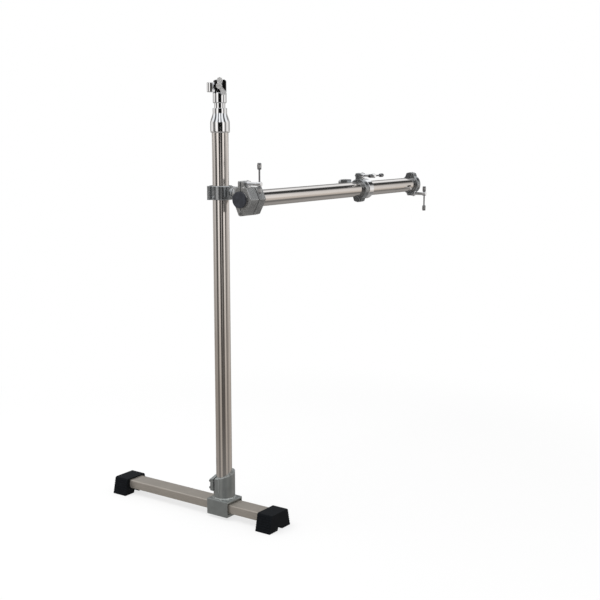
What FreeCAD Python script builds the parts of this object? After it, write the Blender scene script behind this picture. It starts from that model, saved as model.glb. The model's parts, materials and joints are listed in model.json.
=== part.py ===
import FreeCAD, Part
import os
import re
import Sketcher

# A one-legged drum rack: a rectangular base tube with rubber feet carries a round
# post, and a clamp on the post carries a round arm with two more clamps.
# All lengths are millimetres. Heights start at the floor, and places are given from
# the post's axis: x along the base tube, y along the arm, z up.

SIZES = {
    # base tube and feet
    "floor_gap": 17,
    "base_width": 46,
    "base_height": 21,
    "base_wall": 2,
    "base_corner": 3,
    "reach_left": 332,
    "reach_right": 165,
    "foot_length": 42,
    "foot_height": 42,
    "foot_top_half": 32,
    "foot_bottom_half": 41,
    "foot_end": 6,
    "foot_play": 0.1,
    "foot_round": 2.5,
    "arch_half": 9,
    "arch_height": 7,
    "arch_slope": 2,
    "rib_first": 6,
    "rib_pitch": 5.6,
    "rib_groove": 1.8,
    "rib_depth": 1.1,
    # leg casting
    "block_half_length": 31,
    "block_half_width": 29.5,
    "block_under": 10,
    "block_over": 8,
    "block_round": 2,
    "sleeve_play": 0.3,
    "mouth_depth": 4,
    "mouth_gap": 3,
    "socket_radius": 26,
    "socket_rise": 58.8,
    "rim_rise": 8,
    "rim_turn": 58,
    "rim_round": 1.5,
    "socket_ring_radius": 28,
    "socket_ring_height": 4,
    "seat_floor": 4,
    "cap_low": 19,
    "cap_height": 31,
    "cap_half_width": 26.5,
    "cap_back": 23,
    "cap_front": 13,
    "cap_gap": 4,
    "cap_window_play": 0.5,
    "cap_screw_radius": 2,
    "cap_screw_side": 22.8,
    "cap_screw_inset": 7,
    "cap_screw_grip": 12,
    "cap_screw_head": 3.5,
    "cap_screw_head_height": 3,
    "lock_screw_radius": 3,
    "lock_screw_place": 18,
    "lock_screw_inset": 2,
    # post and bell
    "post_radius": 19.05,
    "post_wall": 1.5,
    "post_length": 890,
    "running_play": 0.05,
    "bell_cover": 19,
    "bell_radius": 22.2,
    "bell_skirt": 23,
    "bell_taper": 21,
    "bell_edge": 3,
    "collar_radius": 16.25,
    "collar_height": 11,
    "bush_wall": 1.7,
    "bush_length": 30,
    # upper tube and tilter
    "upper_radius": 12.5,
    "upper_wall": 1.5,
    "upper_stock": 260,
    "upper_neck": 11,
    "guide_length": 25,
    "tilter_turn": 35,
    "tilter_radius": 15.5,
    "tilter_height": 24,
    "tilter_bite": 15,
    "tilter_edge": 1.5,
    "pivot_rise": 14,
    "pivot_radius": 3.5,
    "ear_half": 14.5,
    "ear_left": 10,
    "ear_top": 14,
    "ear_root": 4,
    "ear_round": 3,
    "ear_thick": 4,
    "ear_gap": 9.6,
    "head_play": 0.2,
    "hub_radius": 8,
    "web_half": 5,
    "barrel_radius": 9.25,
    "barrel_place": 19.5,
    "barrel_half_height": 11,
    "barrel_drop": 2.4,
    "barrel_edge": 1,
    "rod_radius": 6.4,
    "pivot_head_radius": 6,
    "pivot_head_height": 4.5,
    "pivot_cap_radius": 6.2,
    "pivot_cap_height": 2.4,
    "wing_hub_radius": 6.5,
    "wing_hub_height": 8.4,
    "wing_thick": 3.6,
    "wing_root_half": 3.4,
    "wing_up_turn": 82,
    "wing_up_reach": 13,
    "wing_up_tip": 6,
    "wing_down_turn": 53,
    "wing_down_reach": 19,
    "wing_down_tip": 5,
    "slot_width": 1.4,
    "slot_depth": 1.6,
    # post clamp and link
    "clamp_height": 777,
    "ring_height": 32,
    "ring_radius": 27,
    "ring_gap": 1.2,
    "ring_round": 1.2,
    "ring_knuckle_radius": 4.5,
    "ring_pin_radius": 2,
    "ring_hinge_place": 30,
    "knuckle_play": 0.4,
    "ring_turn": 65,
    "ring_notch_turn": 23,
    "ring_notch_radius": 2.8,
    "ring_notch_height": 12,
    "flange_start": 20,
    "flange_end": 35,
    "flange_depth": 10,
    "flange_height": 26,
    "ring_bolt_radius": 3,
    "ring_bolt_place": 30,
    "ring_bolt_head": 4.5,
    "ring_bolt_head_height": 5,
    "ring_nut_flats": 4.6,
    "ring_nut_height": 5,
    "link_web_half": 9,
    "link_radius": 15,
    "link_start": 35.8,
    "link_end": 42.5,
    "swivel_washer_radius": 14,
    "swivel_washer_thick": 1,
    "swivel_gap": 0.2,
    "swivel_radius": 5,
    "swivel_thread": 5,
    "swivel_head_radius": 8,
    "swivel_head_height": 4,
    "swivel_head_clear": 0.95,
    # arm
    "arm_side": 80,
    "arm_drop": 12,
    "arm_radius": 19.05,
    "arm_wall": 1.5,
    "arm_near": 31,
    "arm_length": 797,
    "plug_flange": 3,
    "plug_proud": 5,
    "plug_inset": 0.1,
    "plug_spigot": 16,
    "plug_edge": 0.6,
    # hinged tube clamps
    "split_gap": 1.5,
    "hinge_drop": 31,
    "knuckle_radius": 6,
    "hinge_pin_radius": 2.5,
    "hinge_pin_proud": 1,
    "foot_drop": 36,
    "root_half": 6,
    "jaw_heel_out": 13,
    "jaw_heel_drop": 34,
    "fixed_bulge_rise": 2,
    "clamp_round": 1.4,
    "lug_thick": 8,
    "lug_foot": 20.5,
    "lug_round": 2.4,
    "big_out": 31,
    "big_back": 23,
    "big_shoulder": 27,
    "big_shoulder_out": 18,
    "big_shoulder_back": 11,
    "big_bolt_rise": 35.5,
    "big_lug_top": 41.5,
    "band_radius": 26.5,
    "band_root_half": 15,
    "band_root_drop": 20,
    "band_heel_out": 11,
    "band_heel_drop": 31,
    "band_foot_drop": 33,
    "band_hinge_drop": 28,
    "small_bolt_rise": 25.5,
    "small_lug_top": 31.5,
    "arm_clamp_start": -30,
    "arm_clamp_front": 30,
    "arm_clamp_seam": 2.6,
    "arm_clamp_rear": 23.6,
    "rear_screw_radius": 2,
    "rear_screw_rise": 22.6,
    "rear_screw_bite": 9,
    "rear_screw_seat": 15.5,
    "rear_screw_head": 3.4,
    "rear_screw_head_height": 3.4,
    "rear_screw_room": 0.3,
    "mid_clamp_start": 468,
    "mid_clamp_length": 17,
    "end_clamp_inset": 2,
    "end_clamp_length": 17,
    # T-bolt with a sliding bar
    "bolt_radius": 4,
    "bolt_tail": 4,
    "bolt_hole_play": 1,
    "washer_radius": 8,
    "washer_thick": 2,
    "washer_gap": 0.1,
    "washer_room": 0.8,
    "shoulder_radius": 6.5,
    "shoulder_length": 4,
    "handle_reach": 42.5,
    "handle_radius": 5.5,
    "handle_half": 5.5,
    "handle_edge": 1.2,
    "bar_radius": 2,
    "bar_length": 62,
    "bar_shift": 13,
    "knob_radius": 4.6,
    "knob_length": 15,
    "knob_bore": 12,
    "knob_edge": 1.2,
    # stop collar and rod holder on the middle clamp
    "collar_gap": 0.6,
    "stop_length": 23,
    "stop_radius": 26,
    "stop_edge": 1.5,
    "stop_screw_radius": 2.5,
    "stop_screw_proud": 1.2,
    "boss_radius": 8,
    "boss_place": 31,
    "boss_rise": 4,
    "spigot_radius": 5,
    "spigot_length": 4,
    "spigot_end_gap": 0.3,
    "holder_length": 21,
    "holder_half_width": 11,
    "holder_low": 12,
    "holder_high": 24,
    "holder_round": 1.5,
    "holder_bore_place": 42.6,
    "thumb_radius": 3,
    "thumb_rise": 16,
    "thumb_head_radius": 6.5,
    "thumb_head_length": 8,
    "thumb_neck": 2,
}

# The floor frame's origin lies under the middle of the whole rack, so the post's axis
# stands at this place in it.
POST_X = "(reach_left - reach_right) / 2"
POST_Y = "(foot_bottom_half - (arm_length - arm_near + plug_flange)) / 2"

# Heights that several pieces share.
BASE_TOP = "(floor_gap + base_height)"
BLOCK_TOP = f"({BASE_TOP} + block_over)"
POST_FOOT = f"({BASE_TOP} + seat_floor)"
POST_TOP = f"({POST_FOOT} + post_length)"
BELL_FOOT = f"({POST_TOP} - bell_cover)"
BELL_TOP = f"({BELL_FOOT} + bell_skirt + bell_taper + collar_height)"
TILTER_FOOT = f"({BELL_TOP} + upper_neck)"
TILTER_TOP = f"({TILTER_FOOT} + tilter_height)"
PIVOT_Z = f"({TILTER_TOP} + pivot_rise)"
ARM_Z = "(clamp_height - arm_drop)"
POST_BORE = "(post_radius + running_play)"
ARM_BORE = "(arm_radius + running_play)"
UPPER_BORE = "(upper_radius + running_play)"
BUSH_RADIUS = "(upper_radius + running_play + bush_wall)"

WORD = re.compile(r"[a-z][a-z_0-9]*")
MARGIN = "2"

doc = FreeCAD.newDocument("drum_rack")
sheet = doc.addObject("Spreadsheet::Sheet", "sizes")
for row, (name, value) in enumerate(SIZES.items(), 1):
    sheet.set(f"A{row}", name)
    sheet.set(f"B{row}", str(value))
    sheet.setAlias(f"B{row}", name)
doc.recompute()

nodes = []


def bound(text):
    """The expression with every size name pointing at its cell in the sheet."""
    return WORD.sub(lambda m: "sizes." + m.group() if m.group() in SIZES else m.group(), str(text))


def value_of(text):
    """The number that an expression gives with the sheet's sizes."""
    return float(sheet.evalExpression(bound(text)))


def neg(text):
    """The expression with its sign turned."""
    return f"-({text})"


class Frame:
    """A place from the post's axis, and a heading about the upright, to lay pieces out in."""

    def __init__(self, x="0", y="0", z="0", heading=None):
        self.base = (x, y, z)
        self.heading = heading

    def point(self, u, v, w):
        """Expressions for the place u along, v across and w above the frame's own place."""
        x, y, z = self.base
        if self.heading is None:
            return (f"{POST_X} + {x} + ({u})", f"{POST_Y} + {y} + ({v})", f"{z} + ({w})")
        turn = self.heading
        along = f"({u}) * cos({turn}) - ({v}) * sin({turn})"
        across = f"({u}) * sin({turn}) + ({v}) * cos({turn})"
        return (f"{POST_X} + {x} + {along}", f"{POST_Y} + {y} + {across}", f"{z} + ({w})")

    def rotation(self, axis="Z"):
        """The turn that lays a piece made along z down along the named axis."""
        lay = {
            "X": FreeCAD.Rotation(FreeCAD.Vector(0, 1, 0), 90),
            "Y": FreeCAD.Rotation(FreeCAD.Vector(1, 0, 0), -90),
            "Z": FreeCAD.Rotation(),
        }[axis]
        if self.heading is None:
            return lay
        return FreeCAD.Rotation(FreeCAD.Vector(0, 0, 1), value_of(self.heading)) * lay


WORLD = Frame()


def place(item, frame, at, axis="Z"):
    """Put an object at a place in a frame, with its own z along the named axis."""
    item.Placement = FreeCAD.Placement(FreeCAD.Vector(), frame.rotation(axis))
    for letter, text in zip("xyz", frame.point(*at)):
        item.setExpression(f"Placement.Base.{letter}", bound(text))
    return item


def rod(frame, axis, at, radius, length):
    """A round bar that starts at a place and runs along an axis."""
    item = doc.addObject("Part::Cylinder", "rod")
    item.setExpression("Radius", bound(radius))
    item.setExpression("Height", bound(length))
    return place(item, frame, at, axis)


def cone(frame, axis, at, first, last, length):
    """A tapered round bar from one radius to another."""
    item = doc.addObject("Part::Cone", "cone")
    item.setExpression("Radius1", bound(first))
    item.setExpression("Radius2", bound(last))
    item.setExpression("Height", bound(length))
    return place(item, frame, at, axis)


def block(frame, low, high):
    """A box between two opposite corners of a frame."""
    item = doc.addObject("Part::Box", "block")
    for side, first, last in zip(("Length", "Width", "Height"), low, high):
        item.setExpression(side, bound(f"({last}) - ({first})"))
    return place(item, frame, low)


def fuse(*pieces):
    """One solid from pieces that overlap."""
    item = doc.addObject("Part::MultiFuse", "joined")
    item.Shapes = list(pieces)
    item.Refine = True
    return item


def cut(piece, *tools):
    """What is left of a piece when the tools are taken out of it."""
    item = doc.addObject("Part::Cut", "cut")
    item.Base = piece
    item.Tool = tools[0] if len(tools) == 1 else fuse(*tools)
    item.Refine = True
    return item


def plane_of(body, role):
    """One of a body's own origin planes."""
    return next(item for item in body.Origin.OriginFeatures if item.Role == role)


def edge_names(shape, keep):
    """The names of the edges that a test keeps."""
    return [f"Edge{number}" for number, edge in enumerate(shape.Edges, 1) if keep(edge)]


def straight_along(direction):
    """A test for straight edges that run along a direction."""
    def keep(edge):
        return abs(edge.tangentAt(edge.FirstParameter).dot(direction)) > 0.999
    return keep


def any_edge(edge):
    """A test that keeps every edge."""
    return True


# Each plane's own pad direction, and whether the pad is reversed to run the positive way.
PAD_RUNS = {
    "XY_Plane": (FreeCAD.Vector(0, 0, 1), False),
    "XZ_Plane": (FreeCAD.Vector(0, 1, 0), True),
    "YZ_Plane": (FreeCAD.Vector(1, 0, 0), False),
}


def prism(frame, role, at, corners, length, rounding=None, keep=any_edge):
    """A straight-sided bar: an outline on one of the frame's planes, padded by a length."""
    run, reverse = PAD_RUNS[role]
    body = doc.addObject("PartDesign::Body", "prism")
    outline = body.newObject("Sketcher::SketchObject", "outline")
    outline.AttachmentSupport = [(plane_of(body, role), "")]
    outline.MapMode = "FlatFace"
    spots = [FreeCAD.Vector(value_of(a), value_of(b), 0) for a, b in corners]
    count = len(spots)
    for number in range(count):
        outline.addGeometry(Part.LineSegment(spots[number], spots[(number + 1) % count]), False)
    for number in range(count):
        outline.addConstraint(Sketcher.Constraint("Coincident", number, 2, (number + 1) % count, 1))
    for number, corner in enumerate(corners):
        for kind, text in zip(("DistanceX", "DistanceY"), corner):
            rule = Sketcher.Constraint(kind, -1, 1, number, 1, value_of(text))
            index = outline.addConstraint(rule)
            outline.setExpression(f"Constraints[{index}]", bound(text))
    pad = body.newObject("PartDesign::Pad", "pad")
    pad.Profile = outline
    pad.Reversed = reverse
    pad.setExpression("Length", bound(length))
    doc.recompute()
    if rounding is not None:
        soften(body, pad, rounding, edge_names(pad.Shape, keep))
    return place(body, frame, at)


def soften(body, feature, radius, edges):
    """Round some edges of a body's last feature."""
    rounded = body.newObject("PartDesign::Fillet", "rounded")
    rounded.Base = (feature, edges)
    rounded.setExpression("Radius", bound(radius))
    doc.recompute()


def box_corners(low, high):
    """The four corners of a rectangle between two opposite ones."""
    return [(low[0], low[1]), (high[0], low[1]), (high[0], high[1]), (low[0], high[1])]


def rounded_block(frame, low, high, rounding):
    """A box with all its edges rounded."""
    corners = box_corners(("0", "0"), (f"({high[0]}) - ({low[0]})", f"({high[1]}) - ({low[1]})"))
    return prism(frame, "XY_Plane", low, corners, f"({high[2]}) - ({low[2]})", rounding)


def turned(frame, axis, at, profile):
    """A turned piece from (radius, length) steps, stacked along an axis."""
    steps = []
    u, v, w = at
    done = "0"
    for radius, length in profile:
        spot = {"X": (f"{u} + {done}", v, w), "Y": (u, f"{v} + {done}", w), "Z": (u, v, f"{w} + {done}")}[axis]
        steps.append(rod(frame, axis, spot, radius, length))
        done = f"{done} + {length}"
    return steps[0] if len(steps) == 1 else fuse(*steps)


def edged_rod(frame, axis, at, radius, length, edge, both=True):
    """A round bar whose end edges are chamfered by an edge width."""
    u, v, w = at

    def along(distance):
        """The place that lies a distance along the bar."""
        return {"X": (f"{u} + {distance}", v, w), "Y": (u, f"{v} + {distance}", w),
                "Z": (u, v, f"{w} + {distance}")}[axis]

    far = cone(frame, axis, along(f"({length}) - ({edge})"), radius, f"{radius} - {edge}", edge)
    if not both:
        return fuse(rod(frame, axis, at, radius, f"({length}) - ({edge})"), far)
    near = cone(frame, axis, at, f"{radius} - {edge}", radius, edge)
    middle = rod(frame, axis, along(edge), radius, f"({length}) - 2 * ({edge})")
    return fuse(near, middle, far)


def group(*pieces):
    """Several separate solids that share one node."""
    item = doc.addObject("Part::Compound", "group")
    item.Links = list(pieces)
    return item


def node(name, item):
    """Give a finished sub-part its name and put it on the list of files."""
    item.Label = name
    nodes.append(item)
    return item


# The leg: base tube, feet and casting.

def base_tube():
    """Rectangular tube that lies along x, with rounded corners."""
    long_edges = straight_along(FreeCAD.Vector(1, 0, 0))
    start = "foot_end - reach_left"
    length = "reach_left + reach_right - 2 * foot_end"
    outer = box_corners(("-base_width / 2", "0"), ("base_width / 2", "base_height"))
    inner = box_corners(("base_wall - base_width / 2", "base_wall"),
                        ("base_width / 2 - base_wall", "base_height - base_wall"))
    shell = prism(WORLD, "YZ_Plane", (start, "0", "floor_gap"), outer, length, "base_corner", long_edges)
    hollow = prism(WORLD, "YZ_Plane", (start, "0", "floor_gap"), inner, length,
                   "base_corner - base_wall", long_edges)
    node("base_tube", cut(shell, hollow))


def foot_half(height):
    """Half the foot's width at a height above the floor."""
    return f"(foot_bottom_half - (foot_bottom_half - foot_top_half) * ({height}) / foot_height)"


def foot_side():
    """One ribbed side of the foot, from the floor up, as distances out and heights."""
    side = [(foot_half("0"), "0")]
    rib = 0
    while value_of(f"rib_first + {rib} * rib_pitch + rib_groove + foot_round") < SIZES["foot_height"]:
        low = f"(rib_first + {rib} * rib_pitch)"
        high = f"({low} + rib_groove)"
        side += [(foot_half(low), low), (f"{foot_half(low)} - rib_depth", low),
                 (f"{foot_half(high)} - rib_depth", high), (foot_half(high), high)]
        rib += 1
    side.append(("foot_top_half", "foot_height - foot_round"))
    side.append(("foot_top_half - foot_round", "foot_height"))
    return side


def foot(name, inner_face, outer_face, tube_mouth):
    """Flared rubber block with ribbed sides, an arch under it and a pocket for the tube."""
    side = foot_side()
    arch = [("-arch_half", "0"), ("arch_slope - arch_half", "arch_height"),
            ("arch_half - arch_slope", "arch_height"), ("arch_half", "0")]
    outline = side + [(neg(out), height) for out, height in reversed(side)] + arch
    body = prism(WORLD, "YZ_Plane", (inner_face, "0", "0"), outline, f"({outer_face}) - ({inner_face})")
    half = "(base_width / 2 + foot_play)"
    pocket = block(WORLD, (tube_mouth, neg(half), "floor_gap - foot_play"),
                   (f"{tube_mouth} + foot_length - foot_end + foot_play", half, f"{BASE_TOP} + foot_play"))
    node(name, cut(body, pocket))


def feet():
    """A foot on each end of the base tube."""
    foot("foot_left", "-reach_left", "foot_length - reach_left", "foot_end - foot_play - reach_left")
    foot("foot_right", "reach_right - foot_length", "reach_right", "reach_right - foot_length")


def cap_screw_spots():
    """The four places of the cap screws, as (y, z)."""
    low = f"{BLOCK_TOP} + cap_low + cap_screw_inset"
    high = f"{BLOCK_TOP} + cap_low + cap_height - cap_screw_inset"
    return [(side, height) for side in ("-cap_screw_side", "cap_screw_side") for height in (low, high)]


SOCKET_TOP = f"({BLOCK_TOP} + socket_rise + rim_rise)"


def slanted_rim():
    """What is taken off the socket's top so that its rim climbs to one side."""
    frame = Frame(heading="rim_turn")
    reach = f"(socket_radius + cap_back + {MARGIN})"
    climb = f"(rim_rise * {reach} / socket_radius)"
    middle = f"({BLOCK_TOP} + socket_rise)"
    corners = [(neg(reach), f"{middle} - {climb}"), (reach, f"{middle} + {climb}"),
               (reach, f"{middle} + {climb} + {MARGIN}"), (neg(reach), f"{middle} + {climb} + {MARGIN}")]
    return prism(frame, "XZ_Plane", ("0", neg(reach), "0"), corners, f"2 * {reach}")


def leg_socket():
    """Casting with a sleeve round the base tube and an upright socket round the post."""
    bottom = "floor_gap - block_under"
    body = rounded_block(WORLD, ("-block_half_length", "-block_half_width", bottom),
                         ("block_half_length", "block_half_width", BLOCK_TOP), "block_round")
    neck = rod(WORLD, "Z", ("0", "0", f"{BLOCK_TOP} - block_over / 2"), "socket_radius",
               "socket_rise + rim_rise + block_over / 2")
    ring = edged_rod(WORLD, "Z", ("0", "0", f"{BLOCK_TOP} - block_over / 2"), "socket_ring_radius",
                     "block_over / 2 + socket_ring_height", "rim_round")
    window_front = "(cap_front - cap_gap)"
    lug = block(WORLD, (f"-{window_front}", "-cap_half_width", f"{BLOCK_TOP} + cap_low"),
                ("cap_screw_grip - cap_front + cap_gap", "cap_half_width", f"{BLOCK_TOP} + cap_low + cap_height"))
    casting = fuse(body, ring, neck, lug)
    half = "(base_width / 2 + sleeve_play)"
    low = "(floor_gap - sleeve_play)"
    high = f"({BASE_TOP} + sleeve_play)"
    sleeve = block(WORLD, (f"-block_half_length - {MARGIN}", neg(half), low),
                   (f"block_half_length + {MARGIN}", half, high))
    mouths = [block(WORLD, (start, f"-{half} - mouth_gap", f"{low} - mouth_gap"),
                    (end, f"{half} + mouth_gap", f"{high} + mouth_gap"))
              for start, end in ((f"-block_half_length - {MARGIN}", "mouth_depth - block_half_length"),
                                 ("block_half_length - mouth_depth", f"block_half_length + {MARGIN}"))]
    bore = rod(WORLD, "Z", ("0", "0", POST_FOOT), POST_BORE, f"{SOCKET_TOP} - {POST_FOOT} + {MARGIN}")
    window = block(WORLD, (f"-socket_radius - {MARGIN}", f"-socket_radius - {MARGIN}",
                           f"{BLOCK_TOP} + cap_low - cap_window_play"),
                   (f"-{window_front}", f"socket_radius + {MARGIN}", f"{SOCKET_TOP} + {MARGIN}"))
    holes = [rod(WORLD, "X", (f"-{window_front} - {MARGIN}", side, height), "cap_screw_radius + running_play",
                 f"cap_screw_grip - 1 + {MARGIN}") for side, height in cap_screw_spots()]
    locks = [rod(WORLD, "Z", (spot, "0", f"{bottom} - {MARGIN}"), "lock_screw_radius + running_play",
                 f"block_under + {MARGIN}") for spot in ("-lock_screw_place", "lock_screw_place")]
    node("leg_socket", cut(casting, sleeve, bore, window, slanted_rim(), *mouths, *holes, *locks))


def socket_cap():
    """Loose part of the socket that pinches the post, with its four screws."""
    low = f"{BLOCK_TOP} + cap_low"
    body = rounded_block(WORLD, ("-cap_back", "-cap_half_width", low),
                         ("-cap_front", "cap_half_width", SOCKET_TOP), "rim_round")
    bore = rod(WORLD, "Z", ("0", "0", f"{low} - {MARGIN}"), POST_BORE, f"{SOCKET_TOP} - ({low}) + 2 * {MARGIN}")
    holes = [rod(WORLD, "X", (f"-cap_back - {MARGIN}", side, height), "cap_screw_radius + running_play",
                 f"cap_back - cap_front + 2 * {MARGIN}") for side, height in cap_screw_spots()]
    node("socket_cap", cut(body, bore, slanted_rim(), *holes))
    shank = "cap_back - cap_front + cap_gap + cap_screw_grip - 2"
    screws = [turned(WORLD, "X", ("-cap_back - cap_screw_head_height", side, height),
                     [("cap_screw_head", "cap_screw_head_height"), ("cap_screw_radius", shank)])
              for side, height in cap_screw_spots()]
    node("socket_cap_screws", group(*screws))


def lock_screws():
    """Set screws that press on the base tube from below."""
    bottom = "floor_gap - block_under + lock_screw_inset"
    screws = [rod(WORLD, "Z", (spot, "0", bottom), "lock_screw_radius", "block_under - lock_screw_inset")
              for spot in ("-lock_screw_place", "lock_screw_place")]
    node("base_lock_screws", group(*screws))


# The post with its bell, and the upper tube with the tilter.

def post():
    """Round post tube, the bell on its top and the bushing in the bell."""
    tube = rod(WORLD, "Z", ("0", "0", POST_FOOT), "post_radius", "post_length")
    hollow = rod(WORLD, "Z", ("0", "0", POST_FOOT), "post_radius - post_wall", "post_length")
    node("post_tube", cut(tube, hollow))
    foot_edge = cone(WORLD, "Z", ("0", "0", BELL_FOOT), "bell_radius - bell_edge / 2", "bell_radius", "bell_edge")
    skirt = rod(WORLD, "Z", ("0", "0", f"{BELL_FOOT} + bell_edge"), "bell_radius", "bell_skirt - bell_edge")
    taper = cone(WORLD, "Z", ("0", "0", f"{BELL_FOOT} + bell_skirt"), "bell_radius", "collar_radius", "bell_taper")
    collar = rod(WORLD, "Z", ("0", "0", f"{BELL_TOP} - collar_height"), "collar_radius", "collar_height")
    seat = rod(WORLD, "Z", ("0", "0", f"{BELL_FOOT} - {MARGIN}"), POST_BORE, f"bell_cover + {MARGIN}")
    throat = rod(WORLD, "Z", ("0", "0", BELL_FOOT), f"{BUSH_RADIUS} + running_play",
                 f"{BELL_TOP} - {BELL_FOOT} + {MARGIN}")
    node("post_bell", cut(fuse(foot_edge, skirt, taper, collar), seat, throat))
    bush = rod(WORLD, "Z", ("0", "0", f"{BELL_TOP} - bush_length"), BUSH_RADIUS, "bush_length")
    guide = rod(WORLD, "Z", ("0", "0", f"{BELL_TOP} - bush_length - {MARGIN}"), UPPER_BORE,
                f"bush_length + 2 * {MARGIN}")
    node("bell_bushing", cut(bush, guide))


def upper_tube():
    """Tube that telescopes out of the bell, with a guide ring on its lower end."""
    bottom = f"({BELL_TOP} - upper_stock)"
    length = "upper_stock + upper_neck + tilter_bite"
    tube = rod(WORLD, "Z", ("0", "0", bottom), "upper_radius", length)
    hollow = rod(WORLD, "Z", ("0", "0", bottom), "upper_radius - upper_wall", length)
    node("upper_tube", cut(tube, hollow))
    ring = rod(WORLD, "Z", ("0", "0", bottom), "post_radius - post_wall - running_play", "guide_length")
    seat = rod(WORLD, "Z", ("0", "0", f"{bottom} - {MARGIN}"), UPPER_BORE, f"guide_length + 2 * {MARGIN}")
    node("tube_guide", cut(ring, seat))


TILTER = Frame(z=PIVOT_Z, heading="tilter_turn")


def tilter_socket():
    """Round socket on the upper tube with a fork of two ears, the front one narrower, for the tilting head."""
    stem = edged_rod(TILTER, "Z", ("0", "0", "-pivot_rise - tilter_height"), "tilter_radius", "tilter_height",
                     "tilter_edge")
    ears = []
    for start, left in (("ear_gap", "-ear_half"), ("-ear_gap - ear_thick", "-ear_left")):
        plate = box_corners((left, "-pivot_rise - ear_root"), ("ear_half", "ear_top"))
        ears.append(prism(TILTER, "XZ_Plane", ("0", start, "0"), plate, "ear_thick", "ear_round",
                          straight_along(FreeCAD.Vector(0, 1, 0))))
    seat = rod(TILTER, "Z", ("0", "0", f"-pivot_rise - tilter_height - {MARGIN}"), UPPER_BORE,
               f"tilter_bite + {MARGIN}")
    hole = rod(TILTER, "Y", ("0", f"-ear_gap - ear_thick - {MARGIN}", "0"), "pivot_radius + running_play",
               f"2 * (ear_gap + ear_thick + {MARGIN})")
    node("tilter_socket", cut(fuse(stem, *ears), seat, hole))


def tilter_head():
    """Head between the ears, with an upright barrel that takes a rod."""
    half = "(ear_gap - head_play)"
    hub = rod(TILTER, "Y", ("0", neg(half), "0"), "hub_radius", f"2 * {half}")
    web = block(TILTER, ("-barrel_place", "-web_half", "-hub_radius"), ("0", "web_half", "hub_radius"))
    foot_z = "(-barrel_half_height - barrel_drop)"
    barrel = edged_rod(TILTER, "Z", ("-barrel_place", "0", foot_z), "barrel_radius",
                       "2 * barrel_half_height", "barrel_edge")
    hole = rod(TILTER, "Y", ("0", f"-{half} - {MARGIN}", "0"), "pivot_radius + running_play",
               f"2 * ({half} + {MARGIN})")
    bore = rod(TILTER, "Z", ("-barrel_place", "0", f"{foot_z} - {MARGIN}"), "rod_radius",
               f"2 * (barrel_half_height + {MARGIN})")
    node("tilter_head", cut(fuse(hub, web, barrel), hole, bore))


WING_FACE = "(ear_gap + ear_thick + head_play)"


def pivot_bolt():
    """Bolt through the fork, with a round head behind and a slotted cap in front."""
    back = "(ear_gap + ear_thick)"
    front = f"({WING_FACE} + wing_hub_height + head_play + pivot_cap_height)"
    shank = rod(TILTER, "Y", ("0", neg(front), "0"), "pivot_radius", f"{front} + {back}")
    cap = rod(TILTER, "Y", ("0", neg(front), "0"), "pivot_cap_radius", "pivot_cap_height")
    head = edged_rod(TILTER, "Y", ("0", back, "0"), "pivot_head_radius", "pivot_head_height", "barrel_edge", both=False)
    slot = block(TILTER, (f"-pivot_cap_radius - {MARGIN}", f"-{front} - {MARGIN}", "-slot_width / 2"),
                 (f"pivot_cap_radius + {MARGIN}", f"slot_depth - {front}", "slot_width / 2"))
    node("pivot_bolt", cut(fuse(shank, cap, head), slot))


def tilter_wing():
    """Wing nut on the pivot bolt: a round hub with one wing up and one leaning down."""
    hub = rod(TILTER, "Y", ("0", f"-{WING_FACE} - wing_hub_height", "0"), "wing_hub_radius", "wing_hub_height")
    front = f"-{WING_FACE} - wing_hub_height"
    pieces = [hub]
    for angle, reach, radius in (("wing_up_turn", "wing_up_reach", "wing_up_tip"),
                                 ("-wing_down_turn", "wing_down_reach", "wing_down_tip")):
        tip = (f"{reach} * cos({angle})", front, f"{reach} * sin({angle})")
        pieces.append(rod(TILTER, "Y", tip, radius, "wing_thick"))
        out = (f"wing_root_half * sin({angle})", f"-wing_root_half * cos({angle})")
        tip_out = (f"{radius} * sin({angle})", f"-{radius} * cos({angle})")
        corners = [out, (f"{tip[0]} + {tip_out[0]}", f"{tip[2]} + {tip_out[1]}"),
                   (f"{tip[0]} - {tip_out[0]}", f"{tip[2]} - ({tip_out[1]})"),
                   (f"-({out[0]})", f"-({out[1]})")]
        pieces.append(prism(TILTER, "XZ_Plane", ("0", front, "0"), corners, "wing_thick"))
    hole = rod(TILTER, "Y", ("0", f"{front} - {MARGIN}", "0"), "pivot_radius + running_play",
               f"wing_hub_height + 2 * {MARGIN}")
    node("tilter_wing", cut(fuse(*pieces), hole))


# The clamp on the post and its link to the arm clamp.

CLAMP = Frame(z="clamp_height")
RING = Frame(z="clamp_height", heading="ring_turn")
RING_LOW = "-ring_height / 2"
RING_THIRD = "ring_height / 3"


def ring_half(side):
    """Half of the ring round the post: side is 1 for the loose half and -1 for the one with the link."""
    ring = edged_rod(RING, "Z", ("0", "0", RING_LOW), "ring_radius", "ring_height", "ring_round")
    reach = f"(ring_radius + {MARGIN})"
    span = ("ring_gap / 2", reach) if side > 0 else (neg(reach), "-ring_gap / 2")
    keep = block(RING, (neg(reach), span[0], f"{RING_LOW} - {MARGIN}"),
                 (reach, span[1], f"ring_height / 2 + {MARGIN}"))
    half = doc.addObject("Part::Common", "half_ring")
    half.Base = ring
    half.Tool = keep
    return half


def ring_knuckles(levels):
    """Hinge knuckles of the post clamp at some of the three levels."""
    return [rod(RING, "Z", ("-ring_hinge_place", "0", f"{RING_LOW} + {level} * {RING_THIRD} + knuckle_play / 2"),
                "ring_knuckle_radius", f"{RING_THIRD} - knuckle_play") for level in levels]


def ring_knuckle_rooms(levels):
    """Room for the other half's knuckles."""
    return [rod(RING, "Z", ("-ring_hinge_place", "0", f"{RING_LOW} + {level} * {RING_THIRD} - knuckle_play / 2"),
                "ring_knuckle_radius + knuckle_play", f"{RING_THIRD} + knuckle_play") for level in levels]


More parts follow.
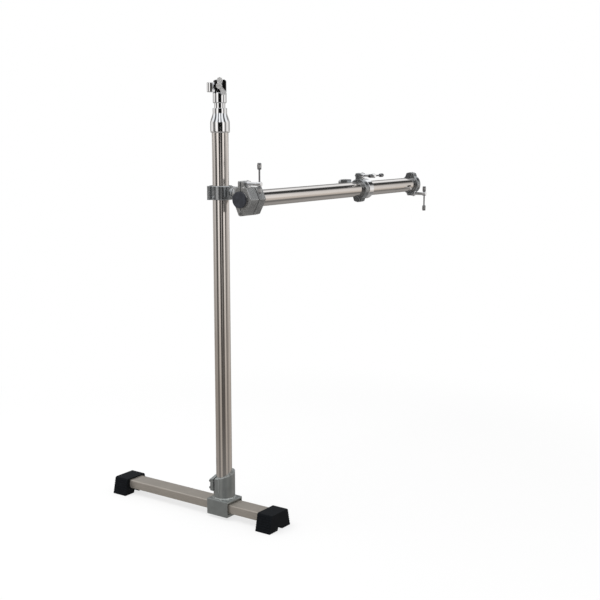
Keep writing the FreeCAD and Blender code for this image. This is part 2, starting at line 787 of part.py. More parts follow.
def ring_tools():
    """What is taken out of both halves: the post's bore, the pin's hole and the bolt's hole."""
    bore = rod(RING, "Z", ("0", "0", f"{RING_LOW} - {MARGIN}"), POST_BORE, f"ring_height + 2 * {MARGIN}")
    pin = rod(RING, "Z", ("-ring_hinge_place", "0", f"{RING_LOW} - {MARGIN}"), "ring_pin_radius + running_play",
              f"ring_height + 2 * {MARGIN}")
    bolt = rod(RING, "Y", ("ring_bolt_place", "-link_radius", "0"), "ring_bolt_radius + running_play",
               "2 * link_radius")
    return bore, pin, bolt


def ring_flange(side):
    """Flange of one half for the clamp bolt: side is 1 for the loose half and -1 for the other."""
    span = ("ring_gap / 2", "flange_depth") if side > 0 else ("-flange_depth", "-ring_gap / 2")
    return block(RING, ("flange_start", span[0], "-flange_height / 2"), ("flange_end", span[1], "flange_height / 2"))


def post_clamp_back():
    """Half of the post clamp with the link that carries the arm clamp, and a notch beside the hinge."""
    web = block(CLAMP, ("post_radius", "-link_web_half", "-flange_height / 2"),
                ("link_start + 1", "link_web_half", "flange_height / 2"))
    disc = edged_rod(CLAMP, "X", ("link_start", "0", "0"), "link_radius", "link_end - link_start", "ring_round",
                     both=False)
    thread = rod(CLAMP, "X", ("link_end - swivel_thread", "0", "0"), "swivel_radius", "swivel_thread + 1")
    spot = ("-ring_radius * cos(ring_notch_turn)", "-ring_radius * sin(ring_notch_turn)", "-ring_notch_height / 2")
    notch = rod(RING, "Z", spot, "ring_notch_radius", "ring_notch_height")
    body = fuse(ring_half(-1), ring_flange(-1), web, disc, *ring_knuckles((0, 2)))
    node("post_clamp_back", cut(body, thread, notch, *ring_tools(), *ring_knuckle_rooms((1,))))


def post_clamp_front():
    """Loose half of the post clamp, hinged on one side and bolted on the other."""
    body = fuse(ring_half(1), ring_flange(1), *ring_knuckles((1,)))
    node("post_clamp_front", cut(body, *ring_tools(), *ring_knuckle_rooms((0, 2))))


def post_clamp_fasteners():
    """Hinge pin, square-headed bolt and nut of the post clamp."""
    pin = rod(RING, "Z", ("-ring_hinge_place", "0", RING_LOW), "ring_pin_radius", "ring_height")
    node("post_clamp_pin", pin)
    head_low = ("ring_bolt_place - ring_bolt_head", "-flange_depth - ring_bolt_head_height", "-ring_bolt_head")
    head_high = ("ring_bolt_place + ring_bolt_head", "-flange_depth", "ring_bolt_head")
    shank = rod(RING, "Y", ("ring_bolt_place", "-flange_depth", "0"), "ring_bolt_radius",
                "2 * flange_depth + ring_nut_height + 1")
    node("post_clamp_bolt", fuse(block(RING, head_low, head_high), shank))
    nut = block(RING, ("ring_bolt_place - ring_nut_flats", "flange_depth", "-ring_nut_flats"),
                ("ring_bolt_place + ring_nut_flats", "flange_depth + ring_nut_height", "ring_nut_flats"))
    hole = rod(RING, "Y", ("ring_bolt_place", f"flange_depth - {MARGIN}", "0"), "ring_bolt_radius + running_play",
               f"ring_nut_height + 2 * {MARGIN}")
    node("post_clamp_nut", cut(nut, hole))


BOSS_START = "(link_end + swivel_washer_thick + swivel_gap)"
SWIVEL_HEAD_END = "(arm_side - arm_radius - swivel_head_clear)"


def swivel():
    """Shoulder bolt on which the arm clamp tilts, and the washer between the two castings."""
    head_start = f"({SWIVEL_HEAD_END} - swivel_head_height)"
    start = "(link_end - swivel_thread)"
    shank = rod(CLAMP, "X", (start, "0", "0"), "swivel_radius", f"{head_start} - {start}")
    head = rod(CLAMP, "X", (head_start, "0", "0"), "swivel_head_radius", "swivel_head_height")
    node("swivel_bolt", fuse(shank, head))
    disc = rod(CLAMP, "X", ("link_end", "0", "0"), "swivel_washer_radius", "swivel_washer_thick")
    hole = rod(CLAMP, "X", (f"link_end - {MARGIN}", "0", "0"), "swivel_radius + running_play",
               f"swivel_washer_thick + 2 * {MARGIN}")
    node("swivel_washer", cut(disc, hole))


# Hinged clamps that grip the arm: a fixed half, a jaw on a pin, and a T-bolt across the lugs.

class TubeClamp:
    """One hinged clamp on the arm, six-sided or a round band. Its bolt is above the arm, or below if turned over."""

    def __init__(self, name, start, jaws, size, upright=True, band=False):
        self.name = name
        self.frame = Frame(x="arm_side", y=start, z=ARM_Z)
        self.jaws = jaws
        self.size = size
        self.band = band
        self.hinge = "-band_hinge_drop" if band else "-hinge_drop"
        self.sign = "1" if upright else "-1"
        self.length = " + ".join([jaws[-1][0], jaws[-1][1]])
        self.bolt_y = f"({jaws[0][1]}) / 2"

    def up(self, text):
        """A height above the arm's axis, or below it on a clamp that is turned over."""
        return f"{self.sign} * ({text})"

    def outline(self, corners):
        """Corners with their heights turned over where the clamp is."""
        return [(x, self.up(z)) for x, z in corners]

    def bar_along(self, start, length, z, radius, x="0"):
        """A round bar parallel to the arm."""
        return rod(self.frame, "Y", (x, start, self.up(z)), radius, length)

    def bar_across(self, start, length, radius):
        """A round bar on the T-bolt's axis."""
        return rod(self.frame, "X", (start, self.bolt_y, self.up(f"{self.size}_bolt_rise")), radius, length)

    def lug(self, start, end):
        """Ear that the T-bolt goes through, between two places across the split."""
        first = f"({self.size}_lug_top + lug_foot) / 2"
        half = f"({self.size}_lug_top - lug_foot) / 2"
        middle = self.up(first)
        return rounded_block(self.frame, (start, "0", f"{middle} - {half}"),
                             (end, self.jaws[0][1], f"{middle} + {half}"), "lug_round")

    def knuckle_span(self, jaw):
        """Where a jaw's knuckle starts, and how long it is: the middle third of the jaw."""
        start, length = jaw
        return f"({start} + ({length}) / 3)", f"(({length}) / 3)"

    def bore(self):
        """Room for the arm."""
        return self.bar_along(f"-{MARGIN}", f"{self.length} + 2 * {MARGIN}", "0", ARM_BORE)

    def pin_hole(self):
        """Room for the hinge pin."""
        return self.bar_along(f"-hinge_pin_proud - {MARGIN}", f"{self.length} + 2 * (hinge_pin_proud + {MARGIN})",
                              self.hinge, "hinge_pin_radius + running_play")

    def band_half(self, side, start, length):
        """Half of a round band with its root at the hinge: side is 1 for the jaw and -1 for the fixed half."""
        gap = "split_gap / 2"
        corners = [(gap, "-band_root_drop"), ("band_root_half", "-band_root_drop"),
                   ("band_heel_out", "-band_heel_drop"), ("root_half", "-band_foot_drop"), (gap, "-band_foot_drop")]
        turned_over = [(f"{side} * ({x})", z) for x, z in corners]
        root = prism(self.frame, "XZ_Plane", ("0", start, "0"), self.outline(turned_over), length)
        reach = f"(band_radius + {MARGIN})"
        span = (gap, reach) if side > 0 else (neg(reach), f"-{gap}")
        half = doc.addObject("Part::Common", "half_band")
        half.Base = edged_rod(self.frame, "Y", ("0", start, "0"), "band_radius", length, "clamp_round")
        half.Tool = block(self.frame, (span[0], f"{start} - {MARGIN}", neg(reach)),
                          (span[1], f"{start} + {length} + {MARGIN}", reach))
        return fuse(half, root)

    def fixed_wall(self):
        """Wall of the fixed half."""
        if self.band:
            return self.band_half(-1, "0", self.length)
        gap = "split_gap / 2"
        corners = [(f"-{gap}", f"{self.size}_shoulder"), (f"-{self.size}_shoulder_back", f"{self.size}_shoulder"),
                   (f"-{self.size}_back", "fixed_bulge_rise"), ("-root_half", "-foot_drop"), (f"-{gap}", "-foot_drop")]
        return prism(self.frame, "XZ_Plane", ("0", "0", "0"), self.outline(corners), self.length, "clamp_round")

    def jaw_wall(self, start, length):
        """Wall of a jaw."""
        if self.band:
            return self.band_half(1, start, length)
        gap = "split_gap / 2"
        corners = [(gap, f"{self.size}_shoulder"), (f"{self.size}_shoulder_out", f"{self.size}_shoulder"),
                   (f"{self.size}_out", "0"), ("jaw_heel_out", "-jaw_heel_drop"), ("root_half", "-foot_drop"),
                   (gap, "-foot_drop")]
        return prism(self.frame, "XZ_Plane", ("0", start, "0"), self.outline(corners), length, "clamp_round")

    def fixed_half(self, extras=(), rooms=()):
        """Half that is fast to the clamp's carrier, with knuckles beside each jaw's own."""
        knuckle = self.bar_along("0", self.length, self.hinge, "knuckle_radius")
        spaces = []
        for jaw in self.jaws:
            start, length = self.knuckle_span(jaw)
            spaces.append(self.bar_along(f"{start} - knuckle_play / 2", f"{length} + knuckle_play", self.hinge,
                                         "knuckle_radius + knuckle_play"))
        bolt = self.bar_across(f"-lug_thick - bolt_tail - {MARGIN}", f"lug_thick + bolt_tail + {MARGIN}",
                               "bolt_radius + running_play")
        whole = fuse(self.fixed_wall(), knuckle, self.lug("-lug_thick", "-split_gap / 2"), *extras)
        node(f"{self.name}_body", cut(whole, self.bore(), self.pin_hole(), bolt, *spaces, *rooms))

    def jaw(self, name, jaw, with_lug, rooms=()):
        """Swinging half between two places along the arm, with one knuckle in its middle."""
        start, length = jaw
        pieces = [self.jaw_wall(start, length)]
        own_start, own_length = self.knuckle_span(jaw)
        first = self.bar_along(f"{start} - {MARGIN}", f"{own_start} - ({start}) + {MARGIN} + knuckle_play / 2",
                               self.hinge, "knuckle_radius + knuckle_play")
        last = self.bar_along(f"{own_start} + {own_length} - knuckle_play / 2",
                              f"{start} + {length} - {own_start} - {own_length} + knuckle_play / 2 + {MARGIN}",
                              self.hinge, "knuckle_radius + knuckle_play")
        knuckle = self.bar_along(f"{own_start} + knuckle_play / 2", f"{own_length} - knuckle_play", self.hinge,
                                 "knuckle_radius")
        tools = [self.bore(), self.pin_hole(), *rooms]
        if with_lug:
            pieces.append(self.lug("split_gap / 2", "lug_thick"))
            tools.append(self.bar_across(f"-{MARGIN}", f"lug_thick + 2 * {MARGIN}", "bolt_radius + bolt_hole_play"))
            tools.append(self.bar_across("lug_thick", "band_radius", "washer_radius + washer_room"))
        wall = cut(fuse(*pieces) if len(pieces) > 1 else pieces[0], first, last)
        node(name, cut(fuse(wall, knuckle), *tools))

    def hinge_pin(self):
        """Pin through all the knuckles."""
        pin = self.bar_along("-hinge_pin_proud", f"{self.length} + 2 * hinge_pin_proud", self.hinge,
                             "hinge_pin_radius")
        node(f"{self.name}_pin", pin)

    def t_bolt(self, bar_axis, shift):
        """T-bolt with its thrust washer, the bar that slides in its head and the bar's knobs."""
        rise = self.up(f"{self.size}_bolt_rise")
        washer_start = "(lug_thick + washer_gap)"
        shoulder_start = f"({washer_start} + washer_thick + washer_gap)"
        disc = self.bar_across(washer_start, "washer_thick", "washer_radius")
        hole = self.bar_across(f"{washer_start} - {MARGIN}", f"washer_thick + 2 * {MARGIN}",
                               "bolt_radius + running_play")
        node(f"{self.name}_washer", cut(disc, hole))
        shank = self.bar_across("-lug_thick - bolt_tail", "handle_reach + lug_thick + bolt_tail", "bolt_radius")
        shoulder = self.bar_across(shoulder_start, "shoulder_length", "shoulder_radius")
        handle = edged_rod(self.frame, "X", ("handle_reach - handle_half", self.bolt_y, rise), "handle_radius",
                           "2 * handle_half", "handle_edge")
        middle = {"Z": ("handle_reach", self.bolt_y, f"{rise} + {shift}"),
                  "Y": ("handle_reach", f"{self.bolt_y} + {shift}", rise)}[bar_axis]
        eye = self.centred_bar(bar_axis, middle, "bar_radius + running_play", "3 * bar_length")
        node(f"{self.name}_bolt", cut(fuse(shank, shoulder, handle), eye))
        node(f"{self.name}_bar", self.centred_bar(bar_axis, middle, "bar_radius", "bar_length"))
        node(f"{self.name}_bar_knobs", group(*self.knobs(bar_axis, middle)))

    def centred_bar(self, axis, middle, radius, length, shift="0"):
        """A round bar that is centred on a place, moved along its own axis by a shift."""
        x, y, z = middle
        start = f"{shift} - ({length}) / 2"
        spot = {"Z": (x, y, f"{z} + {start}"), "Y": (x, f"{y} + {start}", z)}[axis]
        return rod(self.frame, axis, spot, radius, length)

    def knobs(self, axis, middle):
        """The two knobs on the bar's ends."""
        reach = "(bar_length / 2 + knob_length - knob_bore - knob_length / 2)"
        ends = []
        for sign in ("1", "-1"):
            centre = f"{sign} * {reach}"
            x, y, z = middle
            start = f"{centre} - knob_length / 2"
            spot = {"Z": (x, y, f"{z} + {start}"), "Y": (x, f"{y} + {start}", z)}[axis]
            body = edged_rod(self.frame, axis, spot, "knob_radius", "knob_length", "knob_edge")
            room = self.centred_bar(axis, middle, "bar_radius + running_play", "bar_length")
            ends.append(cut(body, room))
        return ends


def arm_clamp():
    """Clamp on the link: a long fixed half, with a front jaw and a rear jaw on one pin."""
    rear_start = "arm_clamp_front + arm_clamp_seam"
    jaws = [("0", "arm_clamp_front"), (rear_start, "arm_clamp_rear")]
    clamp = TubeClamp("arm_clamp", "arm_clamp_start", jaws, "big")
    boss_length = f"arm_side - {BOSS_START} - lug_thick"
    boss = edged_rod(CLAMP, "X", (f"{BOSS_START}", "0", "0"), "link_radius", boss_length, "ring_round")
    hole = rod(CLAMP, "X", (f"{BOSS_START} - {MARGIN}", "0", "0"), "swivel_radius + running_play", "arm_side / 2")
    head = rod(CLAMP, "X", (f"{SWIVEL_HEAD_END} - swivel_head_height - swivel_gap", "0", "0"),
               "swivel_head_radius + running_play", "arm_radius")
    spot = (f"{rear_start} + arm_clamp_rear / 2", "rear_screw_rise")
    thread = rod(clamp.frame, "X", (f"-rear_screw_bite - {MARGIN}", *spot), "rear_screw_radius + running_play",
                 f"rear_screw_bite + {MARGIN} + arm_radius")
    recess = rod(clamp.frame, "X", ("rear_screw_seat", *spot), "rear_screw_head + rear_screw_room", "arm_radius")
    clamp.fixed_half(extras=[boss], rooms=[hole, head, thread])
    clamp.jaw("arm_clamp_jaw", jaws[0], True)
    clamp.jaw("arm_clamp_rear_jaw", jaws[1], False, rooms=[thread, recess])
    screw = turned(clamp.frame, "X", ("-rear_screw_bite", *spot),
                   [("rear_screw_radius", "rear_screw_bite + rear_screw_seat"),
                    ("rear_screw_head", "rear_screw_head_height")])
    node("arm_clamp_rear_screw", screw)
    clamp.hinge_pin()
    clamp.t_bolt("Z", "bar_shift")


def arm():
    """Arm tube with a plug in each end."""
    length = "arm_length"
    frame = Frame(x="arm_side", y="-arm_near", z=ARM_Z)
    tube = rod(frame, "Y", ("0", "0", "0"), "arm_radius", length)
    hollow = rod(frame, "Y", ("0", "0", "0"), "arm_radius - arm_wall", length)
    node("arm_tube", cut(tube, hollow))
    spigot_radius = "arm_radius - arm_wall - running_play"
    flange_radius = "arm_radius - plug_inset"
    near_flange = cone(frame, "Y", ("0", "-plug_proud", "0"), f"{flange_radius} - plug_edge", flange_radius,
                       "plug_proud")
    near_spigot = rod(frame, "Y", ("0", "0", "0"), spigot_radius, "plug_spigot")
    node("arm_plug_near", fuse(near_flange, near_spigot))
    far_flange = cone(frame, "Y", ("0", length, "0"), flange_radius, f"{flange_radius} - plug_edge", "plug_flange")
    far_spigot = rod(frame, "Y", ("0", f"{length} - plug_spigot", "0"), spigot_radius, "plug_spigot")
    node("arm_plug_far", fuse(far_flange, far_spigot))


def mid_clamp():
    """Clamp along the arm, with a spigot on its fixed half for the rod holder."""
    jaws = [("0", "mid_clamp_length")]
    clamp = TubeClamp("mid_clamp", "mid_clamp_start", jaws, "big", band=True)
    centre = "mid_clamp_length / 2"
    boss = rod(clamp.frame, "X", ("-boss_place", centre, "boss_rise"), "boss_radius", "boss_place - arm_radius")
    spigot = rod(clamp.frame, "X", ("-boss_place - spigot_length", centre, "boss_rise"), "spigot_radius",
                 "spigot_length + 1")
    clamp.fixed_half(extras=[boss, spigot])
    clamp.jaw("mid_clamp_jaw", jaws[0], True)
    clamp.hinge_pin()
    clamp.t_bolt("Y", "bar_shift")
    rod_holder(clamp.frame, centre)


def rod_holder(frame, centre):
    """Block on the spigot with an upright bore for a rod, and a thumb screw."""
    face = "(-boss_place - head_play)"
    outer = f"({face} - holder_length)"
    body = rounded_block(frame, (outer, f"{centre} - holder_half_width", "-holder_low"),
                         (face, f"{centre} + holder_half_width", "holder_high"), "holder_round")
    bore = rod(frame, "Z", ("-holder_bore_place", centre, f"-holder_low - {MARGIN}"), "rod_radius",
               f"holder_low + holder_high + 2 * {MARGIN}")
    socket = rod(frame, "X", ("-boss_place - spigot_length - spigot_end_gap", centre, "boss_rise"),
                 "spigot_radius + running_play", f"spigot_length + {MARGIN}")
    thread = rod(frame, "X", (f"{outer} - {MARGIN}", centre, "thumb_rise"), "thumb_radius + running_play",
                 f"-holder_bore_place - ({outer}) + {MARGIN}")
    node("rod_holder", cut(body, bore, socket, thread))
    tip = "(-holder_bore_place - rod_radius - running_play)"
    head_start = f"({outer} - thumb_neck - thumb_head_length)"
    head = edged_rod(frame, "X", (head_start, centre, "thumb_rise"), "thumb_head_radius", "thumb_head_length",
                     "knob_edge")
    shank = rod(frame, "X", (f"{outer} - thumb_neck - 1", centre, "thumb_rise"), "thumb_radius",
                f"{tip} - {outer} + thumb_neck + 1")
    node("rod_holder_screw", fuse(head, shank))


def stop_collar():
    """Plain ring on the arm that keeps the middle clamp's place, and its set screw."""
    start = "mid_clamp_start + mid_clamp_length + collar_gap + hinge_pin_proud"
    frame = Frame(x="arm_side", y=start, z=ARM_Z)
    ring = edged_rod(frame, "Y", ("0", "0", "0"), "stop_radius", "stop_length", "stop_edge")
    bore = rod(frame, "Y", ("0", f"-{MARGIN}", "0"), ARM_BORE, f"stop_length + 2 * {MARGIN}")
    hole = rod(frame, "Z", ("0", "stop_length / 2", "0"), "stop_screw_radius + running_play",
               f"stop_radius + {MARGIN}")
    node("stop_collar", cut(ring, bore, hole))
    screw = rod(frame, "Z", ("0", "stop_length / 2", "arm_radius + running_play"), "stop_screw_radius",
                "stop_radius - arm_radius - running_play + stop_screw_proud")
    node("stop_collar_screw", screw)


def end_clamp():
    """Smaller clamp at the arm's far end, turned over so that its bolt is below."""
    jaws = [("0", "end_clamp_length")]
    start = "arm_length - arm_near - end_clamp_inset - end_clamp_length"
    clamp = TubeClamp("end_clamp", start, jaws, "small", upright=False, band=True)
    clamp.fixed_half()
    clamp.jaw("end_clamp_jaw", jaws[0], True)
    clamp.hinge_pin()
    clamp.t_bolt("Z", "-bar_shift")


def build():
    """Build every sub-part in order."""
    base_tube()
    feet()
    leg_socket()
    socket_cap()
    lock_screws()
    post()
    upper_tube()
    tilter_socket()
    tilter_head()
    pivot_bolt()
    tilter_wing()
    post_clamp_back()
    post_clamp_front()
    post_clamp_fasteners()
    swivel()
    arm_clamp()
    arm()
    mid_clamp()
    stop_collar()
    end_clamp()
    doc.recompute()


def check():
    """Stop if any object failed or any sub-part's shape is missing or broken."""
    bad = [item.Name for item in doc.Objects if {"Invalid", "Error"} & set(item.State)]
    if bad:
        raise RuntimeError(f"failed objects: {bad}")
    for item in nodes:
        if item.Shape.isNull() or not item.Shape.isValid() or not item.Shape.Solids:
            raise RuntimeError(f"no valid shape: {item.Label}")


def write():
    """Write each sub-part's shape to its own file."""
    os.makedirs("parts", exist_ok=True)
    for item in nodes:
        item.Shape.exportStep(f"parts/{item.Label}.step")


build()
check()
write()
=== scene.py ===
"""Looks of a one-legged drum rack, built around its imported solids."""
import json
import logging
import math
from dataclasses import dataclass
from enum import Enum
from typing import Any, Mapping, Sequence

import bmesh
import bpy
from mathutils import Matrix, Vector
from mathutils.bvhtree import BVHTree
from mathutils.geometry import area_tri


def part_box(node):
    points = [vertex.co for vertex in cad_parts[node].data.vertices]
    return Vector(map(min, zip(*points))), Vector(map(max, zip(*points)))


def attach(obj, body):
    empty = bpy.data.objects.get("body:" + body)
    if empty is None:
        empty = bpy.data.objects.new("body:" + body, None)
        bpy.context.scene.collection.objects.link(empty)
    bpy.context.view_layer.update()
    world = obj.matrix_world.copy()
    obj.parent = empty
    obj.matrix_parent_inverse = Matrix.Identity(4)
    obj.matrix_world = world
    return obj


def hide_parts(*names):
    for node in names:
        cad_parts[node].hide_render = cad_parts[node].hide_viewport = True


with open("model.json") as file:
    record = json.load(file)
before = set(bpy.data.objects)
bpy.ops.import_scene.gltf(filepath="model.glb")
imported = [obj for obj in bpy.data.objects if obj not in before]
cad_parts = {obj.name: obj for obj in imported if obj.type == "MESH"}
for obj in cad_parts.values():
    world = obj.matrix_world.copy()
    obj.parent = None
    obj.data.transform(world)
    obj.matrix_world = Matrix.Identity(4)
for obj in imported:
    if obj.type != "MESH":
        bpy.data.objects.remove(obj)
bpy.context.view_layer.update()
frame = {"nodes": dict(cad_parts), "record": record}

LOG = logging.getLogger("drum_rack")
MM = 0.001

# How a solid's copy is welded and shaded, and which of its edges are rounded.
WELD = 0.004 * MM
FLAT_ANGLE = math.radians(0.6)
SMOOTH_ANGLE = math.radians(32)
SHARP_ANGLE = math.radians(34)
SLIM_CORNER = math.radians(25)
SHORT_EDGE = 2.5 * MM
CROSSED_AREA = 0.3 * MM * MM
NEAR_WIDTHS = 3
NARROWER = 0.8

# The marks on a mesh's faces: rounded edges, and the face of the solid that a face comes from.
EDGE_MARK = "edge"
ORIGIN_MARK = "origin"

# A noise lies around its middle, and nearly all of it within its span.
NOISE_MIDDLE = 0.5
NOISE_SPAN = (0.3, 0.7)

Colour = tuple[float, float, float]
Number = int | float

BODY_OF = {node: body for body, nodes in frame["record"]["behaviour"]["bodies"].items() for node in nodes}


def srgb(red: Number, green: Number, blue: Number) -> Colour:
    """Turn a colour as seen on a screen into the linear one that shaders take.

    Args:
        red: Red from 0 to 255.
        green: Green from 0 to 255.
        blue: Blue from 0 to 255.

    Returns:
        The three linear values from 0 to 1.
    """
    def linear(value: Number) -> float:
        """Undo the screen's curve for one channel."""
        share = value / 255
        return share / 12.92 if share <= 0.04045 else ((share + 0.055) / 1.055) ** 2.4

    return (linear(red), linear(green), linear(blue))


def shaded(colour: Colour, factor: float) -> Colour:
    """A colour made darker or lighter by a factor, up to white."""
    return tuple(min(1.0, value * factor) for value in colour)


class Axis(Enum):
    """One of the rack's own directions."""

    X = 0
    Y = 1
    Z = 2

    def way(self) -> Vector:
        """The direction as a vector of length one."""
        return Vector([float(index == self.value) for index in range(3)])


class Wire:
    """An output socket of a node, with arithmetic that adds Math nodes."""

    def __init__(self, board: "Board", socket: bpy.types.NodeSocket) -> None:
        """Keep the board and the socket."""
        self.board = board
        self.socket = socket

    def math(self, operation: str, first: Any, second: Any) -> "Wire":
        """Add one Math node.

        Args:
            operation: The node's operation.
            first: Its first value, a wire or a number.
            second: Its second value, a wire or a number.

        Returns:
            The result.
        """
        return self.board.node("ShaderNodeMath", {"operation": operation}, {0: first, 1: second})

    def __add__(self, other: Any) -> "Wire":
        """Sum."""
        return self.math("ADD", self, other)

    def __radd__(self, other: Any) -> "Wire":
        """Sum with a number first."""
        return self.math("ADD", other, self)

    def __sub__(self, other: Any) -> "Wire":
        """Difference."""
        return self.math("SUBTRACT", self, other)

    def __rsub__(self, other: Any) -> "Wire":
        """Difference from a number."""
        return self.math("SUBTRACT", other, self)

    def __mul__(self, other: Any) -> "Wire":
        """Product."""
        return self.math("MULTIPLY", self, other)

    def __rmul__(self, other: Any) -> "Wire":
        """Product with a number first."""
        return self.math("MULTIPLY", other, self)

    def __truediv__(self, other: Any) -> "Wire":
        """Quotient."""
        return self.math("DIVIDE", self, other)

    def __rtruediv__(self, other: Any) -> "Wire":
        """Quotient of a number."""
        return self.math("DIVIDE", other, self)

    def ease(self, low: float, high: float) -> "Wire":
        """Rise smoothly from 0 at one value to 1 at another.

        Args:
            low: The value that gives 0.
            high: The value that gives 1.

        Returns:
            The eased share.
        """
        return self.board.node("ShaderNodeMapRange", {"interpolation_type": "SMOOTHSTEP"},
                               {"Value": self, "From Min": low, "From Max": high})


class Board:
    """One node tree, and the one way in which nodes are added to it."""

    def __init__(self, tree: bpy.types.NodeTree) -> None:
        """Start with an empty tree."""
        self.tree = tree
        tree.nodes.clear()

    def node(self, kind: str, settings: dict[str, Any] | None = None, inputs: dict[Any, Any] | None = None,
             output: int | str = 0) -> Wire:
        """Add a node, set it up and feed it.

        Args:
            kind: The node's type.
            settings: Its own settings, of which "stops" holds a colour ramp's places and colours.
            inputs: Values or wires by the socket's name or number.
            output: The output that is wanted.

        Returns:
            That output.
        """
        made = self.tree.nodes.new(kind)
        for key, value in (settings or {}).items():
            if key == "stops":
                self.set_stops(made.color_ramp, value)
            else:
                setattr(made, key, value)
        for key, value in (inputs or {}).items():
            self.feed(made.inputs[key], value)
        return Wire(self, made.outputs[output] if made.outputs else None)

    def feed(self, socket: bpy.types.NodeSocket, value: Any) -> None:
        """Link a wire to a socket, or set a plain value on it.

        Args:
            socket: The input.
            value: A wire, a list of wires, a number, a colour or a vector.
        """
        if isinstance(value, list):
            for wire in value:
                self.tree.links.new(wire.socket, socket)
        elif isinstance(value, Wire):
            self.tree.links.new(value.socket, socket)
        elif socket.type == "RGBA" and len(value) == 3:
            socket.default_value = (*value, 1.0)
        else:
            socket.default_value = value

    @staticmethod
    def set_stops(ramp: bpy.types.ColorRamp, stops: Sequence[tuple[float, Colour]]) -> None:
        """Give a colour ramp its stops.

        Args:
            ramp: The ramp.
            stops: Places from 0 to 1 with their colours, in order.
        """
        while len(ramp.elements) > 1:
            ramp.elements.remove(ramp.elements[-1])
        ramp.elements[0].position = stops[0][0]
        ramp.elements[0].color = (*stops[0][1], 1.0)
        for place, colour in stops[1:]:
            ramp.elements.new(place).color = (*colour, 1.0)

    def mix(self, share: Any, first: Any, second: Any) -> Wire:
        """Blend two colours.

        Args:
            share: How much of the second, from 0 to 1.
            first: A wire or a colour.
            second: A wire or a colour.

        Returns:
            The blend.
        """
        return self.node("ShaderNodeMix", {"data_type": "RGBA"}, {0: share, 6: first, 7: second}, 2)

    def noise(self, scale: Number | Sequence[float], detail: float, roughness: float = 0.5) -> Wire:
        """Soft noise in the piece's own coordinates.

        Args:
            scale: Repeats in a metre, one number for all ways or one each along x, y and z.
            detail: Octaves.
            roughness: Weight of the finer octaves.

        Returns:
            A value around a half.
        """
        repeats = (scale,) * 3 if isinstance(scale, (int, float)) else tuple(scale)
        where = self.node("ShaderNodeTexCoord", output="Object")
        placed = self.node("ShaderNodeMapping", None, {"Vector": where, "Scale": repeats})
        inputs = {"Vector": placed, "Scale": 1.0, "Detail": detail, "Roughness": roughness}
        return self.node("ShaderNodeTexNoise", None, inputs)

    def bump(self, height: Wire, depth: float, strength: float) -> Wire:
        """A normal that is tilted by a height.

        Args:
            height: The height, from 0 to 1.
            depth: How far in metres 1 stands above 0.
            strength: Share of the effect.

        Returns:
            The normal.
        """
        return self.node("ShaderNodeBump", None,
                         {"Height": height, "Distance": depth, "Strength": strength})

    def rounded_edge(self) -> Wire:
        """The piece's own mark, 1 on rounded edges and 0 elsewhere."""
        return self.node("ShaderNodeAttribute", {"attribute_name": EDGE_MARK}, output="Fac")


@dataclass(frozen=True)
class Finish:
    """A surface that every piece of one kind shares."""

    name: str

    def material(self) -> bpy.types.Material:
        """Make the material the first time that it is asked for.

        Returns:
            The finish's material.
        """
        known = bpy.data.materials.get(self.name)
        if known is not None:
            return known
        made = bpy.data.materials.new(self.name)
        made.use_nodes = True
        board = Board(made.node_tree)
        shader = board.node("ShaderNodeBsdfPrincipled", None, self.surface(board))
        board.node("ShaderNodeOutputMaterial", None, {"Surface": shader})
        return made

    def surface(self, board: Board) -> dict[str, Any]:
        """The main shader's inputs.

        Args:
            board: The material's nodes.

        Returns:
            Values and wires by the shader's socket names.
        """
        raise NotImplementedError


@dataclass(frozen=True)
class DrawnTube(Finish):
    """Stainless tube with fine drawing lines along its length."""

    axis: Axis = Axis.Z
    colour: Colour = srgb(238, 233, 229)
    rough: float = 0.10
    metal: float = 1.0
    shadow: float = 0.88
    line_pitch: float = 1100.0
    line_run: float = 5.0
    line_share: float = 0.65
    line_dull: float = 0.10
    line_depth: float = 0.012 * MM
    line_relief: float = 0.5
    smudge_pitch: float = 14.0
    smudge_dull: float = 0.05

    def surface(self, board: Board) -> dict[str, Any]:
        """Metal with streaks along the tube and faint smudges.

        Args:
            board: The material's nodes.

        Returns:
            Values and wires by the shader's socket names.
        """
        scale = [self.line_pitch] * 3
        scale[self.axis.value] = self.line_run
        lines = board.noise(scale, detail=3.0, roughness=0.6)
        smudge = board.noise(self.smudge_pitch, detail=3.0)
        blend = lines * self.line_share + smudge * (1 - self.line_share)
        tone = board.mix(blend.ease(*NOISE_SPAN), shaded(self.colour, self.shadow), self.colour)
        lined = self.rough + (lines - NOISE_MIDDLE) * self.line_dull
        rough = lined + (smudge - NOISE_MIDDLE) * self.smudge_dull
        return {"Base Color": tone, "Metallic": self.metal, "Roughness": rough,
                "Normal": board.bump(lines, self.line_depth, self.line_relief)}


@dataclass(frozen=True)
class ChromePlate(Finish):
    """Bright chrome plate with the faintest haze."""

    colour: Colour = srgb(249, 250, 252)
    rough: float = 0.035
    shadow: float = 0.93
    haze_pitch: float = 60.0
    haze_tone: tuple[float, float] = (0.35, 0.75)
    haze_gloss: tuple[float, float] = (0.4, 0.8)
    haze_dull: float = 0.05
    fine_pitch: float = 900.0
    fine_dull: float = 0.02

    def surface(self, board: Board) -> dict[str, Any]:
        """Mirror metal whose gloss varies a little.

        Args:
            board: The material's nodes.

        Returns:
            Values and wires by the shader's socket names.
        """
        haze = board.noise(self.haze_pitch, detail=3.0)
        fine = board.noise(self.fine_pitch, detail=1.0)
        tone = board.mix(haze.ease(*self.haze_tone), self.colour, shaded(self.colour, self.shadow))
        hazy = self.rough + haze.ease(*self.haze_gloss) * self.haze_dull
        rough = hazy + (fine - NOISE_MIDDLE) * self.fine_dull
        return {"Base Color": tone, "Metallic": 1.0, "Roughness": rough}


